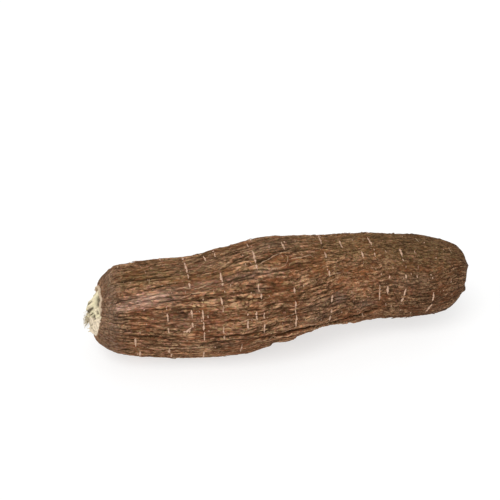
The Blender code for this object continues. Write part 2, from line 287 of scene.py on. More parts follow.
# Scars seen from the front, ring by ring: the ring's place along the root, then from and to which angles.
SCAR_RINGS = (
    (-105, (186, 199)),
    (-102, (208, 226)),
    (-83, (146, 150), (154, 164), (172, 178), (200, 210)),
    (-81, (210, 221)),
    (-67, (151, 161), (166, 172)),
    (-66, (71, 77), (86, 105), (107, 113), (119, 126)),
    (-60, (152, 164), (166, 176), (178, 188), (206, 230)),
    (-52, (78, 92)),
    (-47, (141, 158), (174, 182), (184, 188)),
    (-45, (80, 87), (114, 126), (127, 130)),
    (-35, (200, 216)),
    (-31, (163, 166), (170, 180)),
    (-25, (163, 172)),
    (-22, (78, 86), (136, 144)),
    (-21, (96, 115), (116, 122), (146, 152)),
    (-20, (166, 172), (178, 189)),
    (1, (88, 102)),
    (2, (146, 152), (160, 174), (175, 190)),
    (29, (110, 118), (134, 141), (162, 172), (180, 187), (191, 202)),
    (43, (92, 106)),
    (56, (115, 126)),
    (65, (87, 106), (119, 125), (162, 184)),
    (71, (164, 175)),
    (84, (110, 125), (128, 132), (149, 154)),
    (104, (176, 191)),
)
# Scars that slant or bend: the places on the bark that they run through.
SLANTED_SCARS = (
    ((-68, 172), (-71, 177), (-74, 176)),
    ((31, 71), (29, 96)),
    ((84, 168), (81, 192)),
    ((104, 197), (101, 216)),
)
# Torn edges of bark that catch the light: width, then places on the bark that they run through.
TORN_EDGES = (
    (1.2, (-91.5, 109), (-92, 122)),
    (1.0, (98.5, 88), (100, 97)),
    (1.2, (121.5, 103), (122, 116)),
    (1.2, (-120, 82), (-120, 103)),
    (1.0, (17.5, 140), (18, 146)),
    (1.3, (24, 239), (34, 237), (47, 235)),
    (1.5, (-21, 118), (-16, 114.5), (-10, 111.5), (-4, 107.5), (2, 106)),
    (1.3, (0, 110), (1.5, 113), (1, 117), (-1, 121)),
    (1.5, (-1, 121.5), (-6, 124), (-12, 125.5), (-14, 123)),
    (1.5, (2, 116), (8, 114), (18, 112.5), (20, 115)),
    (0.7, (-116, 149), (-108, 146), (-101, 145.5)),
    (1.2, (-45, 110), (-41, 106), (-36, 103)),
    (1.2, (-78, 127), (-70, 125.5), (-62, 127), (-52, 125)),
    (1.2, (-74, 138), (-66, 134), (-58, 133), (-50, 130)),
    (1.2, (-36, 171), (-30, 170), (-24, 171)),
    (1.2, (-10, 176), (-3, 175), (1, 173)),
    (1.3, (-8, 193), (2, 190.5), (10, 191), (18, 196)),
    (1.2, (12, 205), (22, 206), (30, 209)),
    (1.2, (-26, 199), (-14, 199.5), (0, 197.5)),
    (1.2, (-90, 200), (-76, 199), (-60, 198)),
    (1.2, (28, 141), (33, 139), (38, 139)),
)
# Scars on the side that the photo doesn't show: their rings, then angles, length and gap in degrees.
UNSEEN_RINGS = (-101, -81, -65, -57, -44, -31, -18, 5, 30, 67, 85, 105)
UNSEEN_SIDE = (236, 434)
UNSEEN_SCAR = (7, 24)
UNSEEN_GAP = (10, 48)
# A scar's points are this far apart along it and lie here across it, and its width changes every few steps.
SCAR_STEP = 0.45
SCAR_ACROSS = (-1.0, -0.55, 0.0, 0.55, 1.0)
SCAR_CROWN = 1 - np.array(SCAR_ACROSS)[:, None]**2
BEAD_STEPS = 2.6
BEAD_WIDTH = (0.45, 1.15)
BEAD_ROUGH = (0.8, 1.1)
SCAR_STRAY = 0.09
# How far a scar's edge is sunk in the bark, and how much of the relief under it the scar follows.
SCAR_SUNK = 0.05
SCAR_FOLLOWS = 0.35
# Small specks of the same cork: how many, their length, and their width as a share of a scar's.
SPECKS = 380
SPECK_LENGTH = (0.7, 2.2)
SPECK_WIDTH = (0.35, 0.7)
SPECK_LEAN = 0.6

# Loose flakes of bark: those that are listed hang along the ragged lower edge.
RAGGED_EDGE = (
    (-8, 206), (-2, 212), (5, 205), (10, 213), (15, 219), (19, 211), (24, 222), (28, 217), (33, 226),
    (37, 220), (42, 222), (46, 216), (51, 220), (56, 213), (61, 217), (66, 210),
)
RAGGED_EDGE_SIZE = 1.7
FLAKED_LENGTH = (-112, 122)
# Where flakes may lie, how they turn, lift, fray, curl and follow the bark, and how they are coloured.
FLAKE_ENDS = (NECK_RIM + 3, TIP_END - 4)
FLAKE_YAW = 0.16
FLAKE_LIFT = (0.35, 1.0)
FLAKE_RAGGED = (0.7, 1.1)
FLAKE_TORN = 0.12
FLAKE_CURL = 0.35
FLAKE_OVER = 0.12
FLAKE_FOLLOWS = 0.3
FLAKE_TONE = (0.1, 0.8)
FLAKE_RUST = (0, 0.7)
FLAKE_CREASED = 0.35
FLAKE_LOWEST = (0.5, 0.3)
FLAKE_LENGTH = (3.5, 11.0)
FLAKE_WIDTH = (0.9, 2.6)
FLAKE_SHARES = np.linspace(-0.5, 0.5, 8)
FLAKE_SIDES = np.linspace(-0.5, 0.5, 4)
FLAKE_THICK = 0.35
FLAKE_ROOT = 0.5
TORN_EDGE_HEIGHT = 0.65
WELT_ROOT = 0.9
# Past this place towards the tip the flakes have only this share of their length.
SHORT_FLAKES_FROM = 40
SHORT_FLAKES = 0.6

# The broken neck: a thin rim of bark, and the wood inside it, which stands out in a ragged hump.
RIM_DEPTH = 0.9
# The rim is chipped by noise of this size: how far, and over which length that fades.
CHIP_SIZE = (30, 2.6)
CHIP_DEPTH = 0.7
CHIP_OVER = 2.5
# Rings of the bark's cut edge, inner ones first: how far in, in thicknesses of the bark, how deep,
# how far the upper part stands out, and how pale it is.
RIM_LIPS = (
    (4.6, 5.0, 0.0, 0.0),
    (1.25, 4.0, 0.0, 0.0),
    (1.0, RIM_DEPTH, 0.0, 0.5),
    (0.8, 0.1, 1.9, 1.0),
    (0.5, -0.1, 1.6, 1.0),
    (0.2, 0.0, 0.7, 1.0),
)
# The wood has this many rings and columns of points, and its edge is sunk behind the rim by this much.
BREAK_RINGS = 64
BREAK_COLUMNS = 240
BREAK_SUNK = 3.0
BREAK_RISE = 9.0
# The hump is highest along this angle across the neck, and the splinters are broad along it.
BREAK_TURN = math.radians(75)
BREAK_FLATTENING = 0.18
# The wood's fibres lie at these angles across the neck, in its upper and in its lower face.
FACE_TURNS = (math.radians(126), math.radians(62))
# The hump's profile: the share of the way out and the share of the rise.
BREAK_PROFILE = ((0.0, 1.0), (0.32, 0.94), (0.52, 0.73), (0.75, 0.48), (0.90, 0.22), (1.0, 0.0))
# A ridge runs towards the front between the wood's upper and lower face: angle, half width in degrees,
# share of the rise.
BREAK_RIDGE = (172, 62, 0.34)
# Height of the ridge over the middle, and how it climbs towards the front.
RIDGE_LEVEL = -2.9
RIDGE_CLIMB = 0.44
BUNDLE_SIZE = (9.0, 2.1)
THREAD_SIZE = (3.5, 0.8)
BREAK_SWAY_SIZE = (11, 6)
BREAK_SWELL_SIZE = (6, 4)
# Lumps of the wood: aside and above the middle, size, height.
BREAK_LUMPS = (
    (2.6, 5.4, 3.2, 1.9),
    (-5.3, -11.8, 2.8, 1.9),
    (-1.8, -6.8, 2.5, -0.7),
    (6.0, -4.0, 3.0, 0.8),
)
# Crevices in the wood: aside and above the middle, half length, half width, turn in degrees, depth.
CREVICES = (
    (-1.5, 2.9, 4.4, 0.50, 126, 1.5),
    (1.5, 6.5, 2.6, 0.35, 122, 0.8),
    (-4.6, 1.4, 2.4, 0.35, 128, 0.8),
    (0.7, -1.5, 0.7, 0.55, 90, 1.2),
    (-10.1, 5.9, 1.1, 0.75, 120, 2.0),
    (-8.4, 1.3, 1.9, 0.85, 117, 2.6),
    (-4.5, 11.8, 4.3, 0.80, 40, 1.6),
    (-6.7, -14.0, 0.9, 0.70, 30, 1.4),
    (-5.5, -5.5, 3.4, 0.35, 62, 0.7),
    (-8.6, -6.5, 2.6, 0.30, 66, 0.6),
    (5.5, 9.0, 3.0, 0.45, 110, 1.3),
    (9.5, 2.0, 2.8, 0.50, 80, 1.5),
    (6.0, -9.5, 2.2, 0.40, 70, 1.2),
)
SLIT_WIDENED = 1.4
# Splinters: how many, how far out their feet are, how deep those are, and the splinters' sizes and ways.
SPLINTERS = 26
SPLINTER_SHARE = (0.02, 0.86)
SPLINTER_FOOT = 2.5
SPLINTER_REACH = (0.8, 3.4)
SPLINTER_WIDTH = (0.5, 1.9)
SPLINTER_THICK = 0.5
SPLINTER_WAY = ((-0.35, 0.35), (-0.45, 0.2))
SPLINTER_SPIN = 0.6
SPLINTER_SLANT = 0.8
SPLINTER_YELLOW = 0.6
SPLINTER_DROOP = 0.5
SPLINTER_SHARES = np.linspace(0, 1, 5)
SPLINTER_CORNERS = ((-1, -1), (1, -1), (1, 1), (-1, 1))
# Grey fluff that hangs from the wood's peak: where its feet are, and its sizes.
FLUFF = 110
FLUFF_ASIDE = (-3.0, 1.5)
FLUFF_SPAN = (-6.0, 1.5)
FLUFF_REACH = (3.0, 7.0)
FLUFF_WAY = ((-0.9, -0.4), (-0.5, 0.3), (-1.0, -0.2))
FLUFF_DROOP = (0.5, 1.8)
FLUFF_FOOT = 0.5
FLUFF_WIDTH = 0.28
FLUFF_DIRT = 0.08

# Tints that flecks of the bark have: where in the ramp, and the share of red, green and blue.
HUE_TINTS = (
    (0.02, (0.80, 0.89, 0.72)),
    (0.30, (0.87, 0.89, 0.84)),
    (0.55, (0.94, 0.88, 0.86)),
    (0.78, (1.00, 0.82, 0.70)),
    (0.98, (1.00, 0.86, 0.98)),
)

# Noise along the grain: what it is for, scale, detail, and the part of it that counts.
GRAIN_BANDS = (
    ("Bands", 0.18, 2.0, 0.3, 0.7),
    ("Streaks", 0.7, 3.0, 0.32, 0.68),
    ("Fibres", 1.9, 2.0, 0.3, 0.7),
)
# What the bark's tone is made of, each with its weight, and where it turns brown and then tan.
# The crest share makes the high relief lighter and the low relief darker: painted highlight and shade, with
# some wear on the crests.
TONE_PARTS = (("Tone", 0.20), ("Strip Tone", 0.22), ("Crest", 0.24), ("Fleck Tone", 0.27), ("Fibres", 0.10))
DARK_TO_BROWN = (0.28, 0.49)
BROWN_TO_TAN = (0.49, 0.78)
# Colours laid over the bark: mask, paint, what breaks it up, and how much of it shows at least and at most.
PATCH_PAINTS = (
    ("Olive", "Olive Bark", "Streaks", 0.25, 0.85),
    ("Grey", "Grey Bark", "Streaks", 0.35, 0.85),
    ("Scuff", "Scuffed Bark", "Fibres", 0.5, 1.0),
    ("Torn", "Tan Bark", "Fibres", 0.15, 0.7),
)
STRIP_SIZES = {"Length": 5.4, "Width": 1.3, "Wander": 1.1}
FLECK_SIZES = {"Length": 1.6, "Width": 0.8, "Wander": 1.6}
# How much streaks, strips, flecks and the bark between the gaps count in its bumps.
BUMP_WEIGHTS = (0.2, 0.3, 0.25, 0.25)
# How much lighter the bark is made at the end, and how much painted shade darkens it at the tip.
BARK_LIGHT = 1.75
TIP_LIGHT = 0.66
# Of each material: size and stretch of its grain, its roughness and the height of its bumps in metres, and
# how shiny it is.
BARK_GRAIN = (0.8, 6.0)
BARK_FINISH = (0.72, 0.0005)
BARK_SHINE = 0.05
SCAR_GRAIN = (0.5, 2.0)
SCAR_FINISH = (0.8, 0.0002)
SCAR_SHINE = 0.12
WOOD_GRAIN = (0.7, 6.0)
WOOD_FINISH = (0.62, 0.0003)
WOOD_SHINE = 0.25

FLOOR_HALF = 6.0
FLOOR_LEVEL = -0.0002
KEY_PLACE = (-0.55, -0.65, 1.1)
KEY_SPREAD = math.radians(45)

WHITE = (1.0, 1.0, 1.0, 1.0)
FIELDS = ("crack", "crest", "tone", "rust", "torn", "olive", "scuff", "grey", "shade", "rim")


def count_property(name, description, default, least, most):
    return bpy.props.IntProperty(name=name, description=description, default=default, min=least, max=most)


def length_property(name, description, default):
    return bpy.props.FloatProperty(
        name=name, description=description, default=default, unit="LENGTH", precision=5)


def colour_property(name, description, *default):
    return bpy.props.FloatVectorProperty(
        name=name, description=description, subtype="COLOR", size=4, default=(*default, 1.0), min=0, max=1)


class CassavaForm(bpy.types.PropertyGroup):
    """Sizes of the bark, the scars, the flakes and the broken neck."""

    rings: count_property("Rings", "Rings of points along the bark", 204, 60, 400)
    columns: count_property("Columns", "Points in each ring of bark", 470, 60, 600)
    plate_length: length_property("Plate length", "Length of the bark's plates", 0.015)
    plate_width: length_property("Plate width", "Width of the bark's plates", 0.0031)
    strip_length: length_property("Strip length", "Length of the strips in a plate", 0.0075)
    strip_width: length_property("Strip width", "Width of the strips in a plate", 0.0014)
    crease_depth: length_property("Crease depth", "Depth of the creases between plates", 0.00070)
    peel_depth: length_property("Peel depth", "Thickness of the outer bark where it has worn away", 0.00032)
    scar_width: length_property("Scar width", "Width of the pale scars", 0.0018)
    scar_height: length_property("Scar height", "How far the scars stand out", 0.00050)
    flakes: count_property("Flakes", "Number of loose flakes of bark", 420, 12, 600)
    flake_lift: length_property("Flake lift", "How far a flake's loose end stands off", 0.0006)
    bark_thickness: length_property("Bark thickness", "Thickness of the bark at the broken neck", 0.0013)


class CassavaBarkColours(bpy.types.PropertyGroup):
    """Colours of the bark."""

    # The crevice colour is painted shade in the creases and gaps, with some dirt.
    crevice: colour_property("Crevice", "Dark bottom of the creases", 0.015, 0.007, 0.002)
    dark: colour_property("Dark bark", "Darkest plates", 0.050, 0.024, 0.010)
    brown: colour_property("Brown bark", "Most of the bark", 0.165, 0.083, 0.042)
    # Tan also lightens the crests through the tone: painted highlight, with some wear.
    tan: colour_property("Tan bark", "Lightest strips and worn ridges", 0.48, 0.285, 0.165)
    rust: colour_property("Inner bark", "Bark where the outer layer has gone", 0.235, 0.090, 0.038)
    olive: colour_property("Olive bark", "Greenish-brown patches", 0.215, 0.140, 0.060)
    grey: colour_property("Grey bark", "Weathered patches", 0.185, 0.130, 0.098)
    scuffed: colour_property("Scuffed bark", "Pinkish rubbed patches", 0.56, 0.36, 0.28)
    cut: colour_property("Cut bark", "Pale cut edge of the bark, seen in torn edges too", 0.66, 0.51, 0.36)
    scar: colour_property("Scar", "Pale cross scars", 0.70, 0.46, 0.33)


class CassavaWoodColours(bpy.types.PropertyGroup):
    """Colours of the broken wood."""

    cream: colour_property("Cream wood", "Most of the broken wood", 0.93, 0.78, 0.58)
    yellow: colour_property("Yellow wood", "Yellower upper face", 0.95, 0.86, 0.56)
    # This colour darkens the splits and crevices as painted shade, and darker streaks along the grain.
    stain_and_shade: colour_property("Stained and shaded wood", "Crevices of the broken wood", 0.055, 0.034, 0.012)


class CassavaStudio(bpy.types.PropertyGroup):
    """Camera, lights and floor."""

    azimuth: bpy.props.FloatProperty(
        name="Azimuth", description="Turn of the camera round the root", default=math.radians(-12.5),
        subtype="ANGLE")
    elevation: bpy.props.FloatProperty(
        name="Elevation", description="Height of the camera as an angle", default=math.radians(30),
        subtype="ANGLE")
    distance: bpy.props.FloatProperty(
        name="Distance", description="From the camera to what it aims at", default=0.826, unit="LENGTH")
    aim: bpy.props.FloatVectorProperty(
        name="Aim", description="Point that the camera looks at", subtype="TRANSLATION", size=3,
        default=(-0.01807, 0.01868, 0.06325))
    lens: bpy.props.FloatProperty(
        name="Lens", description="Focal length in millimetres", default=85.0)
    sky: bpy.props.FloatProperty(
        name="Sky", description="Strength of the white light from all round", default=0.62)
    key: bpy.props.FloatProperty(
        name="Key light", description="Strength of the wide light above the neck", default=1.7)
    floor: colour_property("Floor", "Colour of the floor", 0.36, 0.36, 0.358)
    floor_light: bpy.props.FloatProperty(
        name="Floor light", description="Strength of the light that the floor gives", default=0.66)


def in_mm(length):
    return length / MM


def turned_apart(a, b):
    """Angle in degrees from b to a, from -180 to 180."""
    return (a - b + 180) % 360 - 180


def bell(value):
    """1 at 0, and falling smoothly on both sides."""
    return np.exp(-0.5 * value**2)


def eased(value):
    """0 at or below 0, 1 at or above 1, and smooth between."""
    value = np.clip(value, 0, 1)
    return value * value * (3 - 2 * value)


def girth(x):
    """Sideways bow, height of the middle and radius at each x, on a smooth curve through the stations."""
    along = GIRTH[:, 0]
    left = np.clip(np.searchsorted(along, x) - 1, 0, len(along) - 2)
    step = (along[left + 1] - along[left])[..., None]
    t = (x - along[left])[..., None] / step
    slope = np.gradient(GIRTH[:, 1:], along, axis=0)
    curve = (
        (2 * t**3 - 3 * t**2 + 1) * GIRTH[left, 1:]
        + (t**3 - 2 * t**2 + t) * step * slope[left]
        + (3 * t**2 - 2 * t**3) * GIRTH[left + 1, 1:]
        + (t**3 - t**2) * step * slope[left + 1]
    )
    bow, height, radius = np.moveaxis(curve, -1, 0)
    into_tip = np.clip((x - TIP_END + TIP_ROUND) / TIP_ROUND, 0, 1)
    into_neck = np.clip((NECK_RIM + NECK_ROUND - x) / NECK_ROUND, 0, 1)
    radius = NECK_RADIUS + (radius - NECK_RADIUS) * np.sqrt(1 - into_neck**2)
    return bow, height, radius * np.sqrt(1 - into_tip**2)


def faded(x, start, end, fade):
    """1 between two places along the root, falling to 0 at each of them over this length."""
    return eased((x - start) / fade) * eased((end - x) / fade)


def mm_round(degrees, middle):
    """How far round the root, in millimetres, places are from the middle."""
    return np.radians(turned_apart(degrees, middle)) * MEAN_RADIUS


def lumps(x, degrees):
    """Height of the folds, swellings and dents over a round section."""
    height = 0
    for rise, count, start, twist in OUT_OF_ROUND:
        height = height + rise * np.cos(np.radians(count * degrees + start + twist * x))
    for start, end, angle_start, angle_end, half_width, rise in FOLDS:
        share = np.clip((x - start) / (end - start), 0, 1)
        middle = angle_start + (angle_end - angle_start) * share
        beside = turned_apart(degrees, middle) / half_width
        height = height + rise * faded(x, start, end, FOLD_ENDS) * bell(beside)
    return height + spots(x, degrees, SWELLINGS)


def spots(x, degrees, places):
    """Sum of soft round spots, each with its place, its half sizes and its strength."""
    total = 0
    for along, angle, half_length, half_width, strength in places:
        beside = turned_apart(degrees, angle) / half_width
        total = total + strength * bell((x - along) / half_length) * bell(beside)
    return total


def flat_share(x, degrees):
    """1 over the flat spot, fading to 0 round it."""
    start, end = FLAT_SPAN
    along = faded(x, start - FLAT_FADE, end + FLAT_FADE, FLAT_FADE)
    return along * eased(FLAT_EDGE - np.abs(turned_apart(degrees, UNDERNEATH)) / FLAT_HALF_TURN)


def surface(x, degrees, relief=0.0):
    """Points of the bark in the CAD frame, in millimetres, with the relief added outwards."""
    x, degrees = np.broadcast_arrays(np.asarray(x, float), degrees)
    bow, height, radius = girth(x)
    out = radius + lumps(x, degrees) * np.minimum(1, radius / NECK_RADIUS) + relief
    angle = np.radians(degrees)
    x = x + NECK_SLANT * np.sin(angle) * eased(1 - (x - NECK_RIM) / SLANT_FADE)
    points = np.stack([x, bow + out * np.cos(angle), height + out * np.sin(angle)], axis=-1)
    return points - ORIGIN


def in_cells(along, turn, size):
    """Rows and columns of cells of that size on the bark, and where each point is in them."""
    columns = round(MEAN_ROUND / size[1])
    rows = math.ceil(2 * (TIP_END - GRAIN_START) / size[0]) + 4
    return rows, columns, (along - GRAIN_START) / size[0] + 1.5, turn * columns


def wandering(along, turn, size, draw):
    """Smooth noise from about -1 to 1, in cells of that size in millimetres along and round the root."""
    rows, columns, a, b = in_cells(along, turn, size)
    leaning = draw.uniform(0, math.tau, (rows, columns))
    row, column = np.floor(a).astype(int), np.floor(b).astype(int)
    s, t = a - row, b - column
    total = 0
    for down in (0, 1):
        for across in (0, 1):
            lean = leaning[np.clip(row + down, 0, rows - 1), (column + across) % columns]
            slope = np.cos(lean) * (s - down) + np.sin(lean) * (t - across)
            total = total + slope * eased(1 - np.abs(s - down)) * eased(1 - np.abs(t - across))
    return NOISE_GAIN * total


def cells(along, turn, size, draw):
    """Long cells: how far inside one a point is, a number for it, and how lengthways its border is."""
    rows, columns, a, b = in_cells(along, turn, size)
    middles = draw.uniform(*CELL_MIDDLES, (rows, columns, 2))
    numbers = draw.uniform(size=(rows, columns))
    row, column = np.floor(a).astype(int), np.floor(b).astype(int)
    nearest = np.full(a.shape, 9.0)
    second = nearest.copy()
    number = np.zeros(a.shape)
    near_middle = np.zeros((2, *a.shape))
    next_middle = near_middle.copy()
    for down in (-1, 0, 1):
        for across in (-1, 0, 1):
            r, c = np.clip(row + down, 0, rows - 1), (column + across) % columns
            middle = np.stack([row + down + middles[r, c, 0], column + across + middles[r, c, 1]])
            away = np.hypot(a - middle[0], b - middle[1])
            closer, next_closest = away < nearest, (away >= nearest) & (away < second)
            next_middle = np.where(closer, near_middle, np.where(next_closest, middle, next_middle))
            near_middle = np.where(closer, middle, near_middle)
            second = np.where(closer, nearest, np.minimum(second, away))
            number = np.where(closer, numbers[r, c], number)
            nearest = np.where(closer, away, nearest)
    apart = next_middle - near_middle
    lengthways = np.abs(apart[1]) / np.maximum(np.hypot(*apart), 0.001)
    return second - nearest, number, lengthways


def shortened(along):
    """Places along the root, spread out towards the tip and the neck so that the grain is shorter there."""
    beyond = np.logaddexp(0, (along - SHORTER_FROM) / SHORTER_OVER)
    before = np.logaddexp(0, (NECK_SHORTER_TO - along) / NECK_SHORTER_OVER)
    return along + SHORTER_BY * SHORTER_OVER * beyond - NECK_SHORTER_BY * NECK_SHORTER_OVER * before


def bark_pattern(x, turn, form):
    """The bark's relief in millimetres, its masks from 0 to 1, and where each point is in the grain."""
    draw = np.random.default_rng(SEED)
    along = shortened(NECK_RIM + np.interp(x, *bark_length()))
    swayed = turn
    for far, size in GRAIN_SWAYS:
        swayed = swayed + far * wandering(along, swayed, size, draw) / MEAN_ROUND
    shifted = along + PLATE_SHIFT * wandering(along, swayed, PLATE_SHIFT_SIZE, draw)
    plate_size = (in_mm(form.plate_length), in_mm(form.plate_width))
    strip_size = (in_mm(form.strip_length), in_mm(form.strip_width))
    inside_plate, plate, plate_way = cells(shifted, swayed, plate_size, draw)
    inside_strip, strip, strip_way = cells(shifted, swayed, strip_size, draw)
    fibre = wandering(along, swayed, FIBRE_SIZE, draw)
    wrinkle = wandering(along, turn, WRINKLE_SIZE, draw)
    swell = wandering(along, swayed, SWELL_SIZE, draw)
    gaping = eased(0.55 + wandering(along, turn, GAP_SIZE, draw))
    worn = 0.5 * (plate - 0.5) + 0.25 * (strip - 0.5)
    for share, size in WORN_SIZES:
        worn = worn + share * wandering(along, swayed, size, draw)
    peeled = eased((worn - PEEL_FROM) / PEEL_OVER)
    crease = bell(inside_plate / CREASE_WIDTH) * (0.3 + 0.7 * gaping) * plate_way**1.5
    seam = bell(inside_strip / SEAM_WIDTH) * strip_way
    height = (
        SWELL_RISE * swell
        + PLATE_RISE * (plate - 0.5)
        + STRIP_RISE * (strip - 0.5)
        + PLATE_CROWN * eased(inside_plate / 0.5)
        + STRIP_CROWN * eased(inside_strip / 0.6)
        + FIBRE_RISE * fibre
        + WRINKLE_RISE * wrinkle
        - in_mm(form.crease_depth) * crease
        - SEAM_DEPTH * seam
        - in_mm(form.peel_depth) * (peeled - 0.4)
    )
    masks = {
        # The crack mask darkens the creases and seams in the shader: painted shade, with some dirt.
        "crack": np.clip(crease + 0.6 * seam, 0, 1),
        "tone": np.clip(0.5 * plate + 0.35 * strip + 0.25 * (0.5 + fibre), 0, 1),
        "rust": peeled,
        "torn": 4 * peeled * (1 - peeled),
    }
    grain_turn = swayed * math.tau
    around = MEAN_RADIUS * np.stack([np.cos(grain_turn), np.sin(grain_turn)], axis=-1)
    grain = np.concatenate([along[..., None], around], axis=-1)
    return height, masks, grain


def ledge_shape(x, degrees):
    """How far the ledge of loose bark stands out, and the depth of the gap over it, in millimetres."""
    middle = np.interp(x, *LEDGE.T)
    for sway, wave in LEDGE_SWAYS:
        middle = middle + sway * np.sin(x / wave)
    below = mm_round(degrees, middle)
    ends = faded(x, LEDGE[0, 0], LEDGE[-1, 0], LEDGE_FADE)
    ragged = 0.75 + 0.25 * np.sin(x / 1.9) * np.sin(x / 3.1)
    rise = LEDGE_RISE * ends * ragged * bell((below - LEDGE_BELOW) / LEDGE_WIDTH)
    return rise, LEDGE_GAP_DEPTH * ends * bell(below / LEDGE_GAP_WIDTH)


def skirt_rise(x, degrees):
    """How far the loose bark under the ledge stands out, and how ragged it is there from 0 to 1."""
    middle, half_width = SKIRT_ANGLE
    below = bell(turned_apart(degrees, middle) / half_width)
    thick = np.zeros_like(x)
    for start, end in zip(SKIRT_STEPS, SKIRT_STEPS[1:]):
        share = (x - start) / (end - start)
        grown = SKIRT_RISE * np.clip(share, 0, 1)**1.5 - SKIRT_SUNK
        thick = np.where((share >= 0) & (share < 1), grown, thick)
    return thick * below, below * faded(x, SKIRT_STEPS[0], SKIRT_STEPS[-1], SKIRT_FADE)


def groove_depth(x, degrees):
    """Depth of the long creases, in millimetres."""
    sway, wave = GROOVE_SWAY
    depth = 0
    for half_width, deep, *path in GROOVES:
        along, angles = np.array(path, float).T
        middle = np.interp(x, along, angles) + sway * np.sin(x / wave + along[0])
        ends = faded(x, along[0], along[-1], GROOVE_FADE)
        depth = np.maximum(depth, deep * ends * bell(mm_round(degrees, middle) / half_width))
    return depth


def cap_and_bark(x, degrees, form):
    """The bark's pattern, and at the tip the round tip's own, with a smooth change between them."""
    height, masks, grain = bark_pattern(x, degrees / 360, form)
    _, _, radius = girth(x)
    across = radius * np.cos(np.radians(degrees)) + TIP_END - TIP_ROUND
    above = radius * np.sin(np.radians(degrees)) / MEAN_ROUND
    cap_height, cap_masks, cap_grain = bark_pattern(across, 0.5 + above, form)
    capped = eased((x - TIP_END + CAP_LENGTH) / CAP_FADE)
    height = height * (1 - capped) + cap_height * capped
    masks = {name: masks[name] * (1 - capped) + cap_masks[name] * capped for name in masks}
    return height, masks, grain * (1 - capped[..., None]) + cap_grain * capped[..., None]


def colour_patches(x, degrees, masks):
    """Fills in where the bark is olive, scuffed, grey or rusty, and where painted shade darkens it towards
    the tip, from its patches and its tone.
    """
    tone = masks["tone"]
    rubbed = np.clip(0.55 + 0.6 * (tone - 0.3) + 0.4 * (masks["crest"] - 0.5), 0, 1)
    masks["olive"] = np.clip(spots(x, degrees, OLIVE_PATCHES), 0, 1) * (0.6 + 0.4 * tone)
    masks["scuff"] = np.clip(spots(x, degrees, SCUFFED_PATCHES) * rubbed, 0, 1)
    masks["grey"] = np.clip(spots(x, degrees, GREY_PATCHES) * (0.7 + 0.6 * tone), 0, 1)
    masks["rust"] = np.clip(masks["rust"] * 0.75 + spots(x, degrees, RUSTY_PATCHES) * rubbed, 0, 1)
    # Painted shade: the bark is made darker towards the tip.
    dimmer_from, dimmer_over = DIMMER_TIP
    masks["shade"] = eased((x - dimmer_from) / dimmer_over)
    masks["rim"] = np.zeros_like(x)


def bark_relief(x, degrees, form):
    """Relief, masks and grain of the bark at these places."""
    height, masks, grain = cap_and_bark(x, degrees, form)
    rise, gap = ledge_shape(x, degrees)
    depth = np.maximum(groove_depth(x, degrees), gap)
    skirt, skirt_share = skirt_rise(x, degrees)
    height = height * (1 + 0.8 * skirt_share) + rise - depth
    stubs = spots(x, degrees, STUBS)
    past_rim = eased((x - NECK_RIM - 1) / CALM_OVER)
    paler_from, paler_over, paler_by = PALER_CREASES
    # Painted shade: the crack mask darkens the creases, paler towards the tip, and the grooves and the gap
    # over the ledge.
    crack = masks["crack"] * (1 - paler_by * eased((x - paler_from) / paler_over))
    crack = np.maximum(crack, np.clip(1.6 * depth, 0, 1))
    crack = np.maximum(crack, np.clip(0.5 * stubs, 0, 1))
    # Painted shade under the ledge: the loose bark there is darkened where its tone is low.
    crack = np.clip(crack + skirt_share * (0.55 - 0.9 * masks["tone"]), 0, 1)
    masks["crack"] = crack * (0.6 + 0.4 * past_rim)
    # Painted highlight and shade: the crest mask lightens the high relief and darkens the low, with some
    # wear on the crests.
    masks["crest"] = np.clip(0.5 + 0.9 * height, 0, 1)
    colour_patches(x, degrees, masks)
    calm = CALM_NECK + (1 - CALM_NECK) * past_rim
    calmer_from, calmer_over, calmer_by = CALMER_TIP
    calm = calm * (1 - calmer_by * eased((x - calmer_from) / calmer_over))
    calm = calm * (1 - CALMER_FLAT * flat_share(x, degrees))
    sunk = TIP_SUNK * eased((x - TIP_END + CAP_LENGTH) / SUNK_OVER)
    lowest, highest = RELIEF_RANGE
    relief = np.clip(height, lowest, highest + rise) * calm + skirt - sunk
    return relief + stubs + spots(x, degrees, TIP_LUMPS), masks, grain


def new_piece(name, points, faces, material, fields, grain):
    """A mesh object on the root's body, kept inside the CAD's box, with what its material reads."""
    low, high = (np.array(corner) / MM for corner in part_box(NODE))
    mesh = bpy.data.meshes.new(name)
    mesh.from_pydata((np.clip(points, low, high) * MM).tolist(), [], faces)
    for field, values in fields.items():
        stored = mesh.attributes.new(field, "FLOAT", "POINT")
        stored.data.foreach_set("value", np.asarray(values, np.float32).ravel())
    stored = mesh.attributes.new("grain", "FLOAT_VECTOR", "POINT")
    stored.data.foreach_set("vector", np.asarray(grain, np.float32).ravel())
    mesh.materials.append(material)
    mesh.shade_smooth()
    mesh.update()
    made = bpy.data.objects.new(name, mesh)
    bpy.context.scene.collection.objects.link(made)
    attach(made, BODY)
    return made


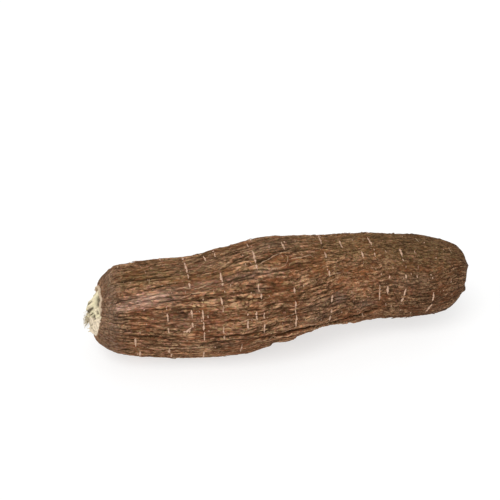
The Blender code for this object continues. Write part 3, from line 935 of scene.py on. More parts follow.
class Shapes:
    """Points, faces and fields of many small closed shapes that become one piece."""

    def __init__(self):
        self.points, self.faces, self.grain = [], [], []
        self.fields = {name: [] for name in FIELDS}
        self.count = 0

    def add_slab(self, top, bottom, grain, **fields):
        """A closed slab between two grids of points, the top one facing outwards."""
        rows, columns = top.shape[:2]
        number = self.count + np.arange(2 * rows * columns).reshape(2, rows, columns)
        upper, lower = number
        for i in range(rows - 1):
            for j in range(columns - 1):
                self.faces.append((upper[i, j], upper[i, j + 1], upper[i + 1, j + 1], upper[i + 1, j]))
                self.faces.append((lower[i, j], lower[i + 1, j], lower[i + 1, j + 1], lower[i, j + 1]))
        ring = [(0, j) for j in range(columns)] + [(i, columns - 1) for i in range(1, rows)]
        ring += [(rows - 1, j) for j in range(columns - 2, -1, -1)]
        ring += [(i, 0) for i in range(rows - 2, 0, -1)]
        for here, following in zip(ring, ring[1:] + ring[:1]):
            self.faces.append((lower[here], lower[following], upper[following], upper[here]))
        self.points += [top.reshape(-1, 3), bottom.reshape(-1, 3)]
        self.grain += [grain.reshape(-1, 3)] * 2
        for name, values in self.fields.items():
            given = np.broadcast_to(fields.get(name, 0.0), (rows, columns)).ravel()
            values += [given, given]
        self.count += 2 * rows * columns

    def add_on_bark(self, x, degrees, heights, grain, fields, lowest=(0.02, 0.01)):
        """A slab whose top and bottom are at these heights over the smooth form, kept off the ground."""
        sides = []
        for height, low in zip(heights, lowest):
            points = surface(x, degrees, height)
            points[..., 2] = np.maximum(points[..., 2], low)
            sides.append(points)
        self.add_slab(*sides, grain, **{name: fields[name] for name in FIELDS})

    def as_piece(self, name, material):
        faces = [tuple(int(corner) for corner in face) for face in self.faces]
        fields = {field: np.concatenate(values) for field, values in self.fields.items()}
        points, grain = np.concatenate(self.points), np.concatenate(self.grain)
        return new_piece(name, points, faces, material, fields, grain)


def grid_faces(rows, columns):
    """Faces of a grid that closes round its columns."""
    number = np.arange(rows * columns).reshape(rows, columns)
    around = np.roll(number, -1, axis=1)
    corners = (number[:-1], around[:-1], around[1:], number[1:])
    return np.stack(corners, axis=-1).reshape(-1, 4).tolist()


def bark_length():
    """Places along the root, and how long the bark is from the neck to each, round ends included."""
    quarter = np.sin(np.linspace(0, math.pi / 2, 60))
    neck = NECK_RIM + NECK_ROUND * (1 - quarter[::-1])
    tip = TIP_END - TIP_ROUND * (1 - quarter)
    places = np.unique(np.concatenate([neck, np.linspace(neck[-1], tip[0], 200), tip]))
    _, _, radius = girth(places)
    return places, np.concatenate([[0], np.cumsum(np.hypot(np.diff(places), np.diff(radius)))])


def even_places(count):
    """Places along the root that are equally far apart on the bark."""
    places, gone = bark_length()
    return np.interp(np.linspace(0, gone[-1], count + 1)[:-1], gone, places)


def neck_middle():
    """Sideways bow and height of the root's middle at the neck's rim."""
    bow, height, _ = girth(np.array([NECK_RIM]))
    return float(bow[0]), float(height[0])


def bark_skin(form, material):
    """Bark over the whole root, from the rim of the broken neck to the tip."""
    turns = np.arange(form.columns) * 360 / form.columns
    x, degrees = np.meshgrid(even_places(form.rings), turns, indexing="ij")
    relief, fields, grain = bark_relief(x, degrees, form)
    smooth = surface(x, degrees)
    around = np.roll(smooth, -1, axis=1) - np.roll(smooth, 1, axis=1)
    outwards = np.cross(around, np.gradient(smooth, axis=0))
    outwards /= np.linalg.norm(outwards, axis=-1, keepdims=True)
    points = smooth + outwards * relief[..., None]
    chipped = wandering(x[:1], degrees[:1] / 360, CHIP_SIZE, np.random.default_rng(SEED))
    points[..., 0] += CHIP_DEPTH * chipped * np.exp((NECK_RIM - x) / CHIP_OVER)
    points[..., 2] = np.maximum(points[..., 2], 0)

    rim = points[0]
    axis = np.array((NECK_RIM, *neck_middle())) - ORIGIN
    thick = in_mm(form.bark_thickness)
    lips = []
    upper = eased((np.sin(np.radians(degrees[0])) - 0.3) / 0.3)
    for inwards, deeper, lip, pale in RIM_LIPS:
        ring = rim.copy()
        ring[:, 1:] = axis[1:] + (rim[:, 1:] - axis[1:]) * (1 - inwards * thick / NECK_RADIUS)
        ring[:, 0] += deeper - lip * upper
        lips.append((ring, pale * (0.35 + 0.65 * upper)))
    rows = len(lips) + len(points)
    shape = np.concatenate([np.stack([ring for ring, _ in lips]), points])
    for name in FIELDS:
        near = np.repeat(fields[name][:1], len(lips), axis=0)
        fields[name] = np.concatenate([near, fields[name]])
    fields["rim"][:len(lips)] = np.array([pale for _, pale in lips])
    grain = np.concatenate([np.repeat(grain[:1], len(lips), axis=0), grain])

    tip = surface(TIP_END, 0.0)
    neck = shape[0].mean(axis=0)
    all_points = np.concatenate([shape.reshape(-1, 3), [neck, tip]])
    faces = grid_faces(rows, form.columns)
    first, last = 0, (rows - 1) * form.columns
    neck_number, tip_number = rows * form.columns, rows * form.columns + 1
    for j in range(form.columns):
        following = (j + 1) % form.columns
        faces.append((first + following, first + j, neck_number))
        faces.append((last + j, last + following, tip_number))
    ends = {name: np.concatenate([values.ravel(), values[[0, -1], 0]]) for name, values in fields.items()}
    grain = np.concatenate([grain.reshape(-1, 3), grain[[0, -1], 0]])
    made = new_piece("bark_skin", all_points, faces, material, ends, grain)
    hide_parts(NODE)
    return made


def unseen_scars():
    """Scars on the underside and the back, at random on the rings of the front."""
    draw = random.Random(SEED)
    first, last = UNSEEN_SIDE
    scars = []
    for along in UNSEEN_RINGS:
        start = first + draw.uniform(*UNSEEN_GAP) / 2
        while start < last:
            end = min(start + draw.uniform(*UNSEEN_SCAR), last)
            place = along + draw.uniform(-1.5, 1.5)
            scars.append(((place, start), (place + draw.uniform(-1, 1), end)))
            start = end + draw.uniform(*UNSEEN_GAP)
    return scars


def pale_specks():
    """Small pale specks at random all over the bark, each a scar of its own width."""
    draw = random.Random(SEED + 4)
    specks = []
    for _ in range(SPECKS):
        along, angle = draw.uniform(*FLAKED_LENGTH), draw.uniform(0, 360)
        _, _, radius = girth(np.array(along))
        turn = math.degrees(draw.uniform(*SPECK_LENGTH) / float(radius))
        ends = ((along, angle), (along + draw.uniform(-SPECK_LEAN, SPECK_LEAN), angle + turn))
        specks.append((draw.uniform(*SPECK_WIDTH), *ends))
    return specks


def welt_grid(path, width, draw):
    """Places of a thin uneven welt that runs through places on the bark, in rows across its path."""
    along, angles = np.array(path, float).T
    mean_radius = girth(along)[2].mean()
    aside = np.radians(angles) * mean_radius
    gone = np.concatenate([[0], np.cumsum(np.hypot(np.diff(along), np.diff(aside)))])
    steps = max(4, math.ceil(gone[-1] / SCAR_STEP))
    share = np.linspace(0, 1, steps + 1)
    along = np.interp(share, gone / gone[-1], along)
    aside = np.interp(share, gone / gone[-1], aside)
    beads = np.linspace(0, 1, max(3, round(steps / BEAD_STEPS)))
    ragged = np.interp(share, beads, draw.uniform(*BEAD_WIDTH, len(beads)))
    ragged = ragged * draw.uniform(*BEAD_ROUGH, steps + 1)
    half_width = 0.5 * width * ragged * np.sqrt(np.sin(math.pi * (0.03 + 0.94 * share)))
    stray = np.cumsum(draw.normal(0, SCAR_STRAY, steps + 1))
    stray = stray - stray[-1] * share
    slope = np.stack([np.gradient(along), np.gradient(aside)])
    slope /= np.hypot(*slope)
    offset = stray + np.array(SCAR_ACROSS)[:, None] * half_width
    x = along + slope[1] * offset
    degrees = np.degrees((aside - slope[0] * offset) / mean_radius)
    return x, degrees, np.broadcast_to(ragged, x.shape)


def cross_scars(form, material):
    """Pale welts that cross the ridges of the bark, and small specks of the same cork."""
    shapes = Shapes()
    draw = np.random.default_rng(SEED)
    placed = [((x, start), (x, end)) for x, *spans in SCAR_RINGS for start, end in spans]
    scars = [(1.0, *path) for path in (*placed, *SLANTED_SCARS, *unseen_scars())]
    for size, *path in scars + pale_specks():
        if max(abs(turned_apart(angle, UNDERNEATH)) for _, angle in path) < FLAT_HALF_TURN:
            continue
        x, degrees, ragged = welt_grid(path, size * in_mm(form.scar_width), draw)
        relief, fields, grain = bark_relief(x, degrees, form)
        level = SCAR_FOLLOWS * relief + (1 - SCAR_FOLLOWS) * relief.mean(axis=0, keepdims=True)
        raised = size * in_mm(form.scar_height) * SCAR_CROWN * (0.5 + 0.5 * ragged) - SCAR_SUNK
        pale = np.clip(0.3 + 0.5 * SCAR_CROWN + 0.6 * (ragged - 0.7), 0, 1)
        fields["tone"] = pale * (0.4 + 0.6 * size)
        shapes.add_on_bark(x, degrees, (level + raised, level - WELT_ROOT), grain, fields)
    return shapes.as_piece("cross_scars", material)


def flake_places(count):
    """Where the loose flakes are: those of the ragged edge, then the rest at random."""
    draw = random.Random(SEED + 1)
    places = [(x, degrees, RAGGED_EDGE_SIZE) for x, degrees in RAGGED_EDGE]
    while len(places) < count:
        x, degrees = draw.uniform(*FLAKED_LENGTH), draw.uniform(0, 360)
        if flat_share(np.array(x), np.array(degrees)) < 0.05:
            places.append((x, degrees, 1.0))
    return places


def add_flake(shapes, form, draw, x0, degrees0, size):
    """A loose shingle of bark, grown to the root at one end and lifted at the other."""
    length = size * draw.uniform(*FLAKE_LENGTH) * (SHORT_FLAKES if x0 > SHORT_FLAKES_FROM else 1)
    width = size * draw.uniform(*FLAKE_WIDTH)
    yaw = draw.gauss(0, FLAKE_YAW) + draw.choice((0, math.pi))
    lift = in_mm(form.flake_lift) * draw.uniform(*FLAKE_LIFT) * size
    ragged = np.array([draw.uniform(*FLAKE_RAGGED) for _ in FLAKE_SHARES])
    torn = np.array([draw.uniform(-FLAKE_TORN, FLAKE_TORN) for _ in FLAKE_SIDES])
    share = FLAKE_SHARES[:, None] + torn[None] * eased(FLAKE_SHARES[:, None] * 4)
    taper = np.sqrt(np.clip(1.02 - (2 * FLAKE_SHARES)**4, 0.15, 1)) * ragged
    aside = FLAKE_SIDES[None] * taper[:, None] * width
    forwards = share * length
    _, _, radius = girth(np.clip(x0 + forwards, *FLAKE_ENDS))
    x = np.clip(x0 + forwards * math.cos(yaw) - aside * math.sin(yaw), *FLAKE_ENDS)
    degrees = degrees0 + np.degrees((forwards * math.sin(yaw) + aside * math.cos(yaw)) / radius)
    relief, fields, grain = bark_relief(x, degrees, form)
    level = FLAKE_FOLLOWS * relief + (1 - FLAKE_FOLLOWS) * relief.mean()
    loose = eased((share + 0.5) * 1.1)**1.5
    curl = FLAKE_CURL * (2 * FLAKE_SIDES[None])**2 * loose * lift
    height = level - FLAKE_ROOT * (1 - eased(4 * (share + 0.5))) + FLAKE_OVER + lift * loose + curl
    thick = FLAKE_THICK * (1 - 0.5 * loose)
    fields["tone"] = np.clip(draw.uniform(*FLAKE_TONE) + 0.3 * (fields["tone"] - 0.5), 0, 1)
    fields["crack"] = FLAKE_CREASED * fields["crack"]
    fields["torn"] = np.clip(2.5 * (share + 0.1), 0, 1) * 0.8
    fields["rust"] = np.broadcast_to(draw.uniform(*FLAKE_RUST), x.shape)
    shapes.add_on_bark(x, degrees, (height, height - thick), grain, fields, FLAKE_LOWEST)


def add_torn_edge(shapes, form, draw, path, width):
    """A thin raised edge of torn bark that runs through places on the bark."""
    x, degrees, ragged = welt_grid(path, width, draw)
    relief, fields, grain = bark_relief(x, degrees, form)
    level = 0.5 * relief + 0.5 * relief.mean(axis=0, keepdims=True)
    top = level + TORN_EDGE_HEIGHT * SCAR_CROWN * ragged - SCAR_SUNK
    fields["crack"] = np.zeros_like(x)
    fields["rim"] = np.clip(0.35 * SCAR_CROWN * ragged, 0, 0.3)
    fields["torn"] = np.ones_like(x)
    shapes.add_on_bark(x, degrees, (top, level - WELT_ROOT), grain, fields)


def bark_flakes(form, material):
    """Loose flakes of bark, and the torn edges that catch the light."""
    shapes = Shapes()
    draw = random.Random(SEED + 2)
    for x, degrees, size in flake_places(form.flakes):
        add_flake(shapes, form, draw, x, degrees, size)
    uneven = np.random.default_rng(SEED + 5)
    for width, *path in TORN_EDGES:
        add_torn_edge(shapes, form, uneven, path, width)
    return shapes.as_piece("bark_flakes", material)


def break_rise(aside, above, radius):
    """How far the broken wood stands out at places across the neck, how much painted shade darkens its
    splits and crevices, and its grain.
    """
    share = np.clip(np.hypot(aside, above) / radius, 0, 1)
    turned = np.arctan2(above, aside) - BREAK_TURN
    shares, rises = np.array(BREAK_PROFILE).T
    hump = BREAK_RISE * np.interp(share, shares, rises)
    hump = hump * (1 - BREAK_FLATTENING * (1 - np.cos(2 * turned)))
    angle, half_width, extra = BREAK_RIDGE
    beside = np.abs(turned_apart(np.degrees(np.arctan2(above, aside)), angle)) / half_width
    hump = hump * (1 + extra * (np.clip(1 - beside, 0, 1) - 0.5) * np.minimum(1, 3 * share))
    upper = above - RIDGE_LEVEL + RIDGE_CLIMB * aside > 0
    laid = np.arctan2(above, aside) - np.where(upper, *FACE_TURNS)
    grain = radius * share * np.cos(laid)
    layer = radius * share * np.sin(laid)
    draw = np.random.default_rng(SEED)
    turn = 0.5 + layer / MEAN_ROUND
    turn = turn + 0.8 * wandering(grain, turn, BREAK_SWAY_SIZE, draw) / MEAN_ROUND
    inside_bundle, bundle, _ = cells(grain, turn, BUNDLE_SIZE, draw)
    inside_thread, thread, _ = cells(grain, turn, THREAD_SIZE, draw)
    swell = wandering(grain, turn, BREAK_SWELL_SIZE, draw)
    ragged = 0.7 * (bundle - 0.5) + 0.3 * (thread - 0.5) + 0.4 * swell
    split = bell(inside_bundle / 0.1)
    ragged = ragged - 0.3 * split - 0.12 * bell(inside_thread / 0.2)
    inner = eased(6 * (1 - share))
    # Painted shade along the splits between the bundles.
    dirt = 0.45 * split * inner
    for beside, over, size, height in BREAK_LUMPS:
        hump = hump + height * bell(np.hypot(aside - beside, above - over) / size)
    for beside, over, half_length, half_width, lean, depth in CREVICES:
        y, z = aside - beside, above - over
        lean = math.radians(lean)
        lengthways = (y * math.cos(lean) + z * math.sin(lean)) / half_length
        crossways = (z * math.cos(lean) - y * math.sin(lean)) / half_width
        slit = np.exp(-lengthways**4) * bell(crossways / SLIT_WIDENED)
        ragged = ragged - depth * slit
        # Painted shade in the crevices.
        dirt = np.maximum(dirt, np.clip(1.6 * slit, 0, 1))
    rise = hump + ragged * inner - NECK_SLANT * above / NECK_RADIUS
    return rise, dirt, grain, layer, thread


def broken_wood(form, material):
    """Pale torn wood that stands out of the broken neck, closed behind the bark's rim."""
    rings, columns = BREAK_RINGS, BREAK_COLUMNS
    bow, height = neck_middle()
    radius = NECK_RADIUS - in_mm(form.bark_thickness)
    share = np.linspace(1, 1 / rings, rings)[:, None]
    turn = (np.arange(columns) * math.tau / columns)[None]
    aside, above = radius * share * np.cos(turn), radius * share * np.sin(turn)
    rise, dirt, grain, layer, thread = break_rise(aside, above, radius)
    points = np.stack([NECK_RIM + RIM_DEPTH - rise, bow + aside, height + above], axis=-1) - ORIGIN
    sunk = points[:1].copy()
    sunk[..., 0] += BREAK_SUNK
    points = np.concatenate([sunk, points])
    ends = np.array([points[0].mean(axis=0), points[-1].mean(axis=0)])
    faces = grid_faces(rings + 1, columns)
    back, peak = (rings + 1) * columns, (rings + 1) * columns + 1
    last = rings * columns
    for j in range(columns):
        following = (j + 1) % columns
        faces.append((j, back, following))
        faces.append((last + j, last + following, peak))
    upper = eased(0.5 + (above - RIDGE_LEVEL + RIDGE_CLIMB * aside) / 2.5)
    fields = {"dirt": dirt, "upper": upper, "tone": thread}
    grains = np.stack([rise, grain, layer], axis=-1)
    stored = {}
    for name, values in fields.items():
        values = np.broadcast_to(values, (rings, columns))
        stored[name] = np.concatenate([values[:1].ravel(), values.ravel(), values[[0, -1], 0]])
    grains = np.concatenate([grains[:1].reshape(-1, 3), grains.reshape(-1, 3), grains[[0, -1], 0]])
    made = new_piece("broken_wood", np.concatenate([points.reshape(-1, 3), ends]), faces, material,
                     stored, grains)
    turn_outwards(made.data)
    return made


def turn_outwards(mesh):
    """Makes every face of closed shapes face outwards."""
    shape = bmesh.new()
    shape.from_mesh(mesh)
    bmesh.ops.recalc_face_normals(shape, faces=shape.faces)
    shape.to_mesh(mesh)
    shape.free()


def hanging_fibre(draw):
    """One fibre of the fluff: place of its foot, way, reach, droop, spin, breadth and depth of its foot."""
    aside, above = draw.uniform(*FLUFF_ASIDE), draw.uniform(*FLUFF_SPAN)
    way = Vector([draw.uniform(*span) for span in FLUFF_WAY])
    reach, droop = draw.uniform(*FLUFF_REACH), draw.uniform(*FLUFF_DROOP)
    return aside, above, way, reach, droop, draw.uniform(0, math.pi), FLUFF_WIDTH, FLUFF_FOOT


def standing_fibre(draw, radius):
    """The same for one splinter of the wood."""
    turn, share = draw.uniform(0, math.tau), math.sqrt(draw.uniform(*SPLINTER_SHARE))
    aside, above = radius * share * math.cos(turn), radius * share * math.sin(turn)
    way = Vector((-1, *(draw.uniform(*span) for span in SPLINTER_WAY)))
    reach = SPLINTER_FOOT + draw.uniform(*SPLINTER_REACH) * (1 - 0.6 * share)
    spin = BREAK_TURN + draw.uniform(-SPLINTER_SPIN, SPLINTER_SPIN)
    broad = draw.uniform(*SPLINTER_WIDTH)
    return aside, above, way, reach, SPLINTER_DROOP, spin, broad, SPLINTER_FOOT


def fibre_points(foot, way, reach, wide, thin, slant, droop):
    """Corners of one torn fibre, four at each of its rings from the foot to the end."""
    corners = []
    for share in SPLINTER_SHARES:
        middle = foot + way * reach * share + Vector((0, 0, -droop * share**2))
        width = 1 - 0.65 * share**2
        for a, b in SPLINTER_CORNERS:
            corner = middle + wide * a * width + thin * b * (1 - 0.6 * share)
            corner.x += slant * a * share**2
            corners.append(tuple(np.array(corner) - ORIGIN))
    return corners


def fibre_faces(first):
    """Faces of one torn fibre, whose corners start at that number."""
    faces = []
    last = first + 4 * (len(SPLINTER_SHARES) - 1)
    for low in range(first, last, 4):
        for k in range(4):
            following = (k + 1) % 4
            faces.append((low + k, low + following, low + 4 + following, low + 4 + k))
    faces.append(tuple(first + k for k in (3, 2, 1, 0)))
    faces.append(tuple(last + k for k in range(4)))
    return faces


def neck_splinters(form, material):
    """Thin torn fibres that stand out of the broken wood, and grey fluff that hangs from its peak."""
    draw = random.Random(SEED + 3)
    bow, height = neck_middle()
    radius = NECK_RADIUS - in_mm(form.bark_thickness)
    points, faces, tones, dirt, grains = [], [], [], [], []
    for number in range(SPLINTERS + FLUFF):
        hanging = number >= SPLINTERS
        fibre = hanging_fibre(draw) if hanging else standing_fibre(draw, radius)
        aside, above, way, reach, droop, spin, broad, foot_depth = fibre
        rise = float(break_rise(np.array([aside]), np.array([above]), radius)[0][0])
        foot = Vector((NECK_RIM + RIM_DEPTH - rise + foot_depth, bow + aside, height + above))
        wide = Vector((0, math.cos(spin), math.sin(spin))) * broad / 2
        thin = Vector((0, -math.sin(spin), math.cos(spin))) * min(broad, SPLINTER_THICK) / 2
        slant = draw.uniform(-SPLINTER_SLANT, SPLINTER_SLANT) * (not hanging)
        tone = draw.random()
        corners = fibre_points(foot, way, reach, wide, thin, slant, droop)
        faces += fibre_faces(len(points))
        points += corners
        tones += [tone] * len(corners)
        dirt += [FLUFF_DIRT if hanging else 0.0] * len(corners)
        for share in SPLINTER_SHARES:
            grains += [(reach * share, a * wide.length, b * SPLINTER_THICK) for a, b in SPLINTER_CORNERS]
    fields = {"dirt": dirt, "upper": np.full(len(points), SPLINTER_YELLOW), "tone": tones}
    made = new_piece("neck_splinters", np.array(points), faces, material, fields, grains)
    turn_outwards(made.data)
    return made


def add_node(tree, kind, settings=None, **inputs):
    """A node with its settings, and with a value or another node's output in each named input."""
    made = tree.nodes.new(kind)
    for name, value in (settings or {}).items():
        setattr(made, name, value)
    for name, value in inputs.items():
        fill_socket(tree, made.inputs[name.replace("_", " ")], value)
    return made


def fill_socket(tree, socket, value):
    if isinstance(value, bpy.types.NodeSocket):
        tree.links.new(value, socket)
    else:
        socket.default_value = value


def mixed(tree, factor, first, second, blend="MIX"):
    """A colour between two others."""
    node = tree.nodes.new("ShaderNodeMix")
    node.data_type = "RGBA"
    node.blend_type = blend
    for number, value in ((0, factor), (6, first), (7, second)):
        fill_socket(tree, node.inputs[number], value)
    return node.outputs[2]


def worked(tree, operation, first, second=0.0, third=0.0):
    """A number worked out from others, kept from 0 to 1."""
    node = tree.nodes.new("ShaderNodeMath")
    node.operation = operation
    node.use_clamp = True
    for number, value in enumerate((first, second, third)):
        fill_socket(tree, node.inputs[number], value)
    return node.outputs[0]


def summed(tree, *parts):
    """Sum of numbers, each times its weight, kept from 0 to 1."""
    total = 0.0
    for value, weight in parts:
        total = worked(tree, "MULTIPLY_ADD", value, weight, total)
    return total


def worked_freely(tree, operation, first, second=0.0):
    """A number worked out from others, and not kept from 0 to 1."""
    node = add_node(tree, "ShaderNodeMath", {"operation": operation})
    fill_socket(tree, node.inputs[0], first)
    fill_socket(tree, node.inputs[1], second)
    return node.outputs[0]


def vector_worked(tree, operation, first, second):
    """A vector worked out from another and a second vector, or a number where it is scaled."""
    node = add_node(tree, "ShaderNodeVectorMath", {"operation": operation})
    fill_socket(tree, node.inputs[0], first)
    fill_socket(tree, node.inputs["Scale" if operation == "SCALE" else 1], second)
    return node.outputs[0]


def ranged(tree, value, low, high, to_low=0.0, to_high=1.0):
    """A number moved smoothly from one range to another."""
    node = tree.nodes.new("ShaderNodeMapRange")
    node.interpolation_type = "SMOOTHSTEP"
    for number, given in enumerate((value, low, high, to_low, to_high)):
        fill_socket(tree, node.inputs[number], given)
    return node.outputs[0]


def field_of(tree, name, output="Fac"):
    """What a piece stores for each of its points under that name."""
    return add_node(tree, "ShaderNodeAttribute", {"attribute_name": name}).outputs[output]


def new_group(name, inputs, outputs):
    """An empty node group with named inputs, each with its kind and default, and named outputs."""
    tree = bpy.data.node_groups.new(name, "ShaderNodeTree")
    for label, kind, default in inputs:
        socket = tree.interface.new_socket(label, in_out="INPUT", socket_type=f"NodeSocket{kind}")
        if default is not None:
            socket.default_value = default
    for label, kind in outputs:
        tree.interface.new_socket(label, in_out="OUTPUT", socket_type=f"NodeSocket{kind}")
    return tree, tree.nodes.new("NodeGroupInput").outputs, tree.nodes.new("NodeGroupOutput").inputs


def group_node(tree, group, **inputs):
    """A group placed in a material with its own values."""
    node = add_node(tree, "ShaderNodeGroup", {"node_tree": group})
    for name, value in inputs.items():
        fill_socket(tree, node.inputs[name.replace("_", " ")], value)
    return node.outputs


def fibre_grain_group():
    """Streaks along the grain: broad bands, streaks and fine fibres, each from 0 to 1."""
    name = "Fibre Grain"
    if name in bpy.data.node_groups:
        return bpy.data.node_groups[name]
    tree, given, out = new_group(
        name,
        (("Vector", "Vector", None), ("Size", "Float", 1.0), ("Stretch", "Float", 6.0)),
        (("Bands", "Float"), ("Streaks", "Float"), ("Fibres", "Float")),
    )
    squeezed = worked_freely(tree, "DIVIDE", 1.0, given["Stretch"])
    stretch = add_node(tree, "ShaderNodeCombineXYZ", X=squeezed, Y=1.0, Z=1.0).outputs[0]
    stretched = vector_worked(tree, "MULTIPLY", given["Vector"], stretch)
    sized = vector_worked(tree, "SCALE", stretched, worked_freely(tree, "DIVIDE", 1.0, given["Size"]))
    for label, scale, detail, low, high in GRAIN_BANDS:
        noise = add_node(tree, "ShaderNodeTexNoise", Vector=sized, Scale=scale, Detail=detail,
                         Roughness=0.6, Distortion=0.3)
        fill_socket(tree, out[label], ranged(tree, noise.outputs["Fac"], low, high))
    return tree


def bark_strips_group():
    """Short strips along the grain: a tone and a hue for each, and thin dark gaps, all from 0 to 1."""
    name = "Bark Strips"
    if name in bpy.data.node_groups:
        return bpy.data.node_groups[name]
    tree, given, out = new_group(
        name,
        (("Vector", "Vector", None), ("Length", "Float", 5.0), ("Width", "Float", 1.0),
         ("Wander", "Float", 1.0)),
        (("Tone", "Float"), ("Hue", "Float"), ("Gap", "Float")),
    )
    long = worked_freely(tree, "DIVIDE", 1.0, given["Length"])
    wide = worked_freely(tree, "DIVIDE", 1.0, given["Width"])
    size = add_node(tree, "ShaderNodeCombineXYZ", X=long, Y=wide, Z=wide).outputs[0]
    scaled = vector_worked(tree, "MULTIPLY", given["Vector"], size)
    noise = add_node(tree, "ShaderNodeTexNoise", Vector=scaled, Scale=0.6, Detail=2.0)
    centred = vector_worked(tree, "SUBTRACT", noise.outputs["Color"], (0.5, 0.5, 0.5))
    moved = vector_worked(tree, "ADD", scaled, vector_worked(tree, "SCALE", centred, given["Wander"]))
    strips = add_node(tree, "ShaderNodeTexVoronoi", Vector=moved, Scale=1.0)
    parts = add_node(tree, "ShaderNodeSeparateColor", Color=strips.outputs["Color"])
    fill_socket(tree, out["Tone"], parts.outputs["Red"])
    fill_socket(tree, out["Hue"], parts.outputs["Green"])
    ridges = add_node(tree, "ShaderNodeTexNoise", Vector=moved, Scale=0.55, Detail=1.5)
    away = worked_freely(tree, "ABSOLUTE", worked_freely(tree, "SUBTRACT", ridges.outputs["Fac"], 0.5))
    fill_socket(tree, out["Gap"], ranged(tree, away, 0.0, 0.045, 1.0, 0.0))
    return tree


def crevice_shade_and_dirt_group():
    """Darkens a colour towards a dark colour where the mask is high: painted shade in creases and crevices,
    with some dirt.
    """
    name = "Crevice Dirt"
    if name in bpy.data.node_groups:
        return bpy.data.node_groups[name]
    tree, given, out = new_group(
        name,
        (("Color", "Color", WHITE), ("Dirt", "Color", WHITE), ("Mask", "Float", 0.0),
         ("Breakup", "Float", 0.5), ("Amount", "Float", 1.0)),
        (("Color", "Color"),),
    )
    broken = worked(tree, "MULTIPLY_ADD", given["Breakup"], 0.5, 0.6)
    share = worked(tree, "MULTIPLY", worked(tree, "MULTIPLY", given["Mask"], broken), given["Amount"])
    fill_socket(tree, out["Color"], mixed(tree, share, given["Color"], given["Dirt"]))
    return tree


def hue_tint(tree, value):
    """A light tint from a number: greenish, none, reddish or purplish."""
    ramp = tree.nodes.new("ShaderNodeValToRGB")
    stops = ramp.color_ramp.elements
    for place, tint in HUE_TINTS:
        stop = stops.new(place)
        stop.color = (*tint, 1.0)
    stops.remove(stops[0])
    stops.remove(stops[-1])
    fill_socket(tree, ramp.inputs["Fac"], value)
    return ramp.outputs["Color"]


def bark_colour_group(colours):
    """Colour of bark from the masks that a piece stores and from the grain."""
    name = "Bark Colour"
    if name in bpy.data.node_groups:
        return bpy.data.node_groups[name]
    masks = ("Tone", "Crest", "Rust", "Torn", "Olive", "Scuff", "Grey", "Shade", "Strip Tone", "Strip Hue",
             "Fleck Tone", "Fleck Hue", "Bands", "Streaks", "Fibres")
    paints = ("dark", "brown", "tan", "rust", "olive", "grey", "scuffed")
    tree, given, out = new_group(
        name,
        [(mask, "Float", 0.5) for mask in masks]
        + [(f"{paint.capitalize()} Bark", "Color", tuple(getattr(colours, paint))) for paint in paints],
        (("Color", "Color"),),
    )
    tone = summed(tree, *((given[part], weight) for part, weight in TONE_PARTS))
    colour = mixed(tree, ranged(tree, tone, *DARK_TO_BROWN), given["Dark Bark"], given["Brown Bark"])
    colour = mixed(tree, ranged(tree, tone, *BROWN_TO_TAN), colour, given["Tan Bark"])
    reddened = ranged(tree, given["Strip Hue"], 0.2, 0.7, 0.25, 0.9)
    reddened = worked(tree, "MULTIPLY", given["Rust"], reddened)
    colour = mixed(tree, reddened, colour, given["Rust Bark"])
    for mask, paint, breakup, least, most in PATCH_PAINTS:
        broken = ranged(tree, given[breakup], 0.0, 1.0, least, most)
        colour = mixed(tree, worked(tree, "MULTIPLY", given[mask], broken), colour, given[paint])
    colour = mixed(tree, 1.0, colour, hue_tint(tree, given["Fleck Hue"]), "MULTIPLY")
    light = worked(tree, "MULTIPLY", ranged(tree, given["Streaks"], 0.0, 1.0, 0.5, 1.0),
                   ranged(tree, given["Bands"], 0.0, 1.0, 0.8, 1.0))
    # Painted shade towards the tip, from the stored shade mask.
    dimmed = ranged(tree, given["Shade"], 0.0, 1.0, 1.0, TIP_LIGHT)
    lit = worked_freely(tree, "MULTIPLY", worked(tree, "MULTIPLY", light, dimmed), BARK_LIGHT)
    fill_socket(tree, out["Color"], vector_worked(tree, "SCALE", colour, lit))
    return tree


def start_material(name, size, stretch):
    """A material with its shader, and the fibre grain along the piece's own grain."""
    material = bpy.data.materials.new(name)
    material.use_nodes = True
    tree = material.node_tree
    vector = field_of(tree, "grain", "Vector")
    grain = group_node(tree, fibre_grain_group(), Vector=vector, Size=size, Stretch=stretch)
    return material, tree, tree.nodes["Principled BSDF"], grain


def rough_surface(tree, shader, grain, roughness, height, relief=None):
    """Roughness that changes with the grain, and fibres too fine for the mesh as bump."""
    fill_socket(tree, shader.inputs["Roughness"],
                ranged(tree, grain["Streaks"], 0.0, 1.0, roughness + 0.08, roughness - 0.08))
    if relief is None:
        relief = summed(tree, (grain["Fibres"], 0.45), (grain["Streaks"], 0.55))
    bump = add_node(tree, "ShaderNodeBump", Height=relief, Strength=1.0, Distance=height)
    fill_socket(tree, shader.inputs["Normal"], bump.outputs[0])


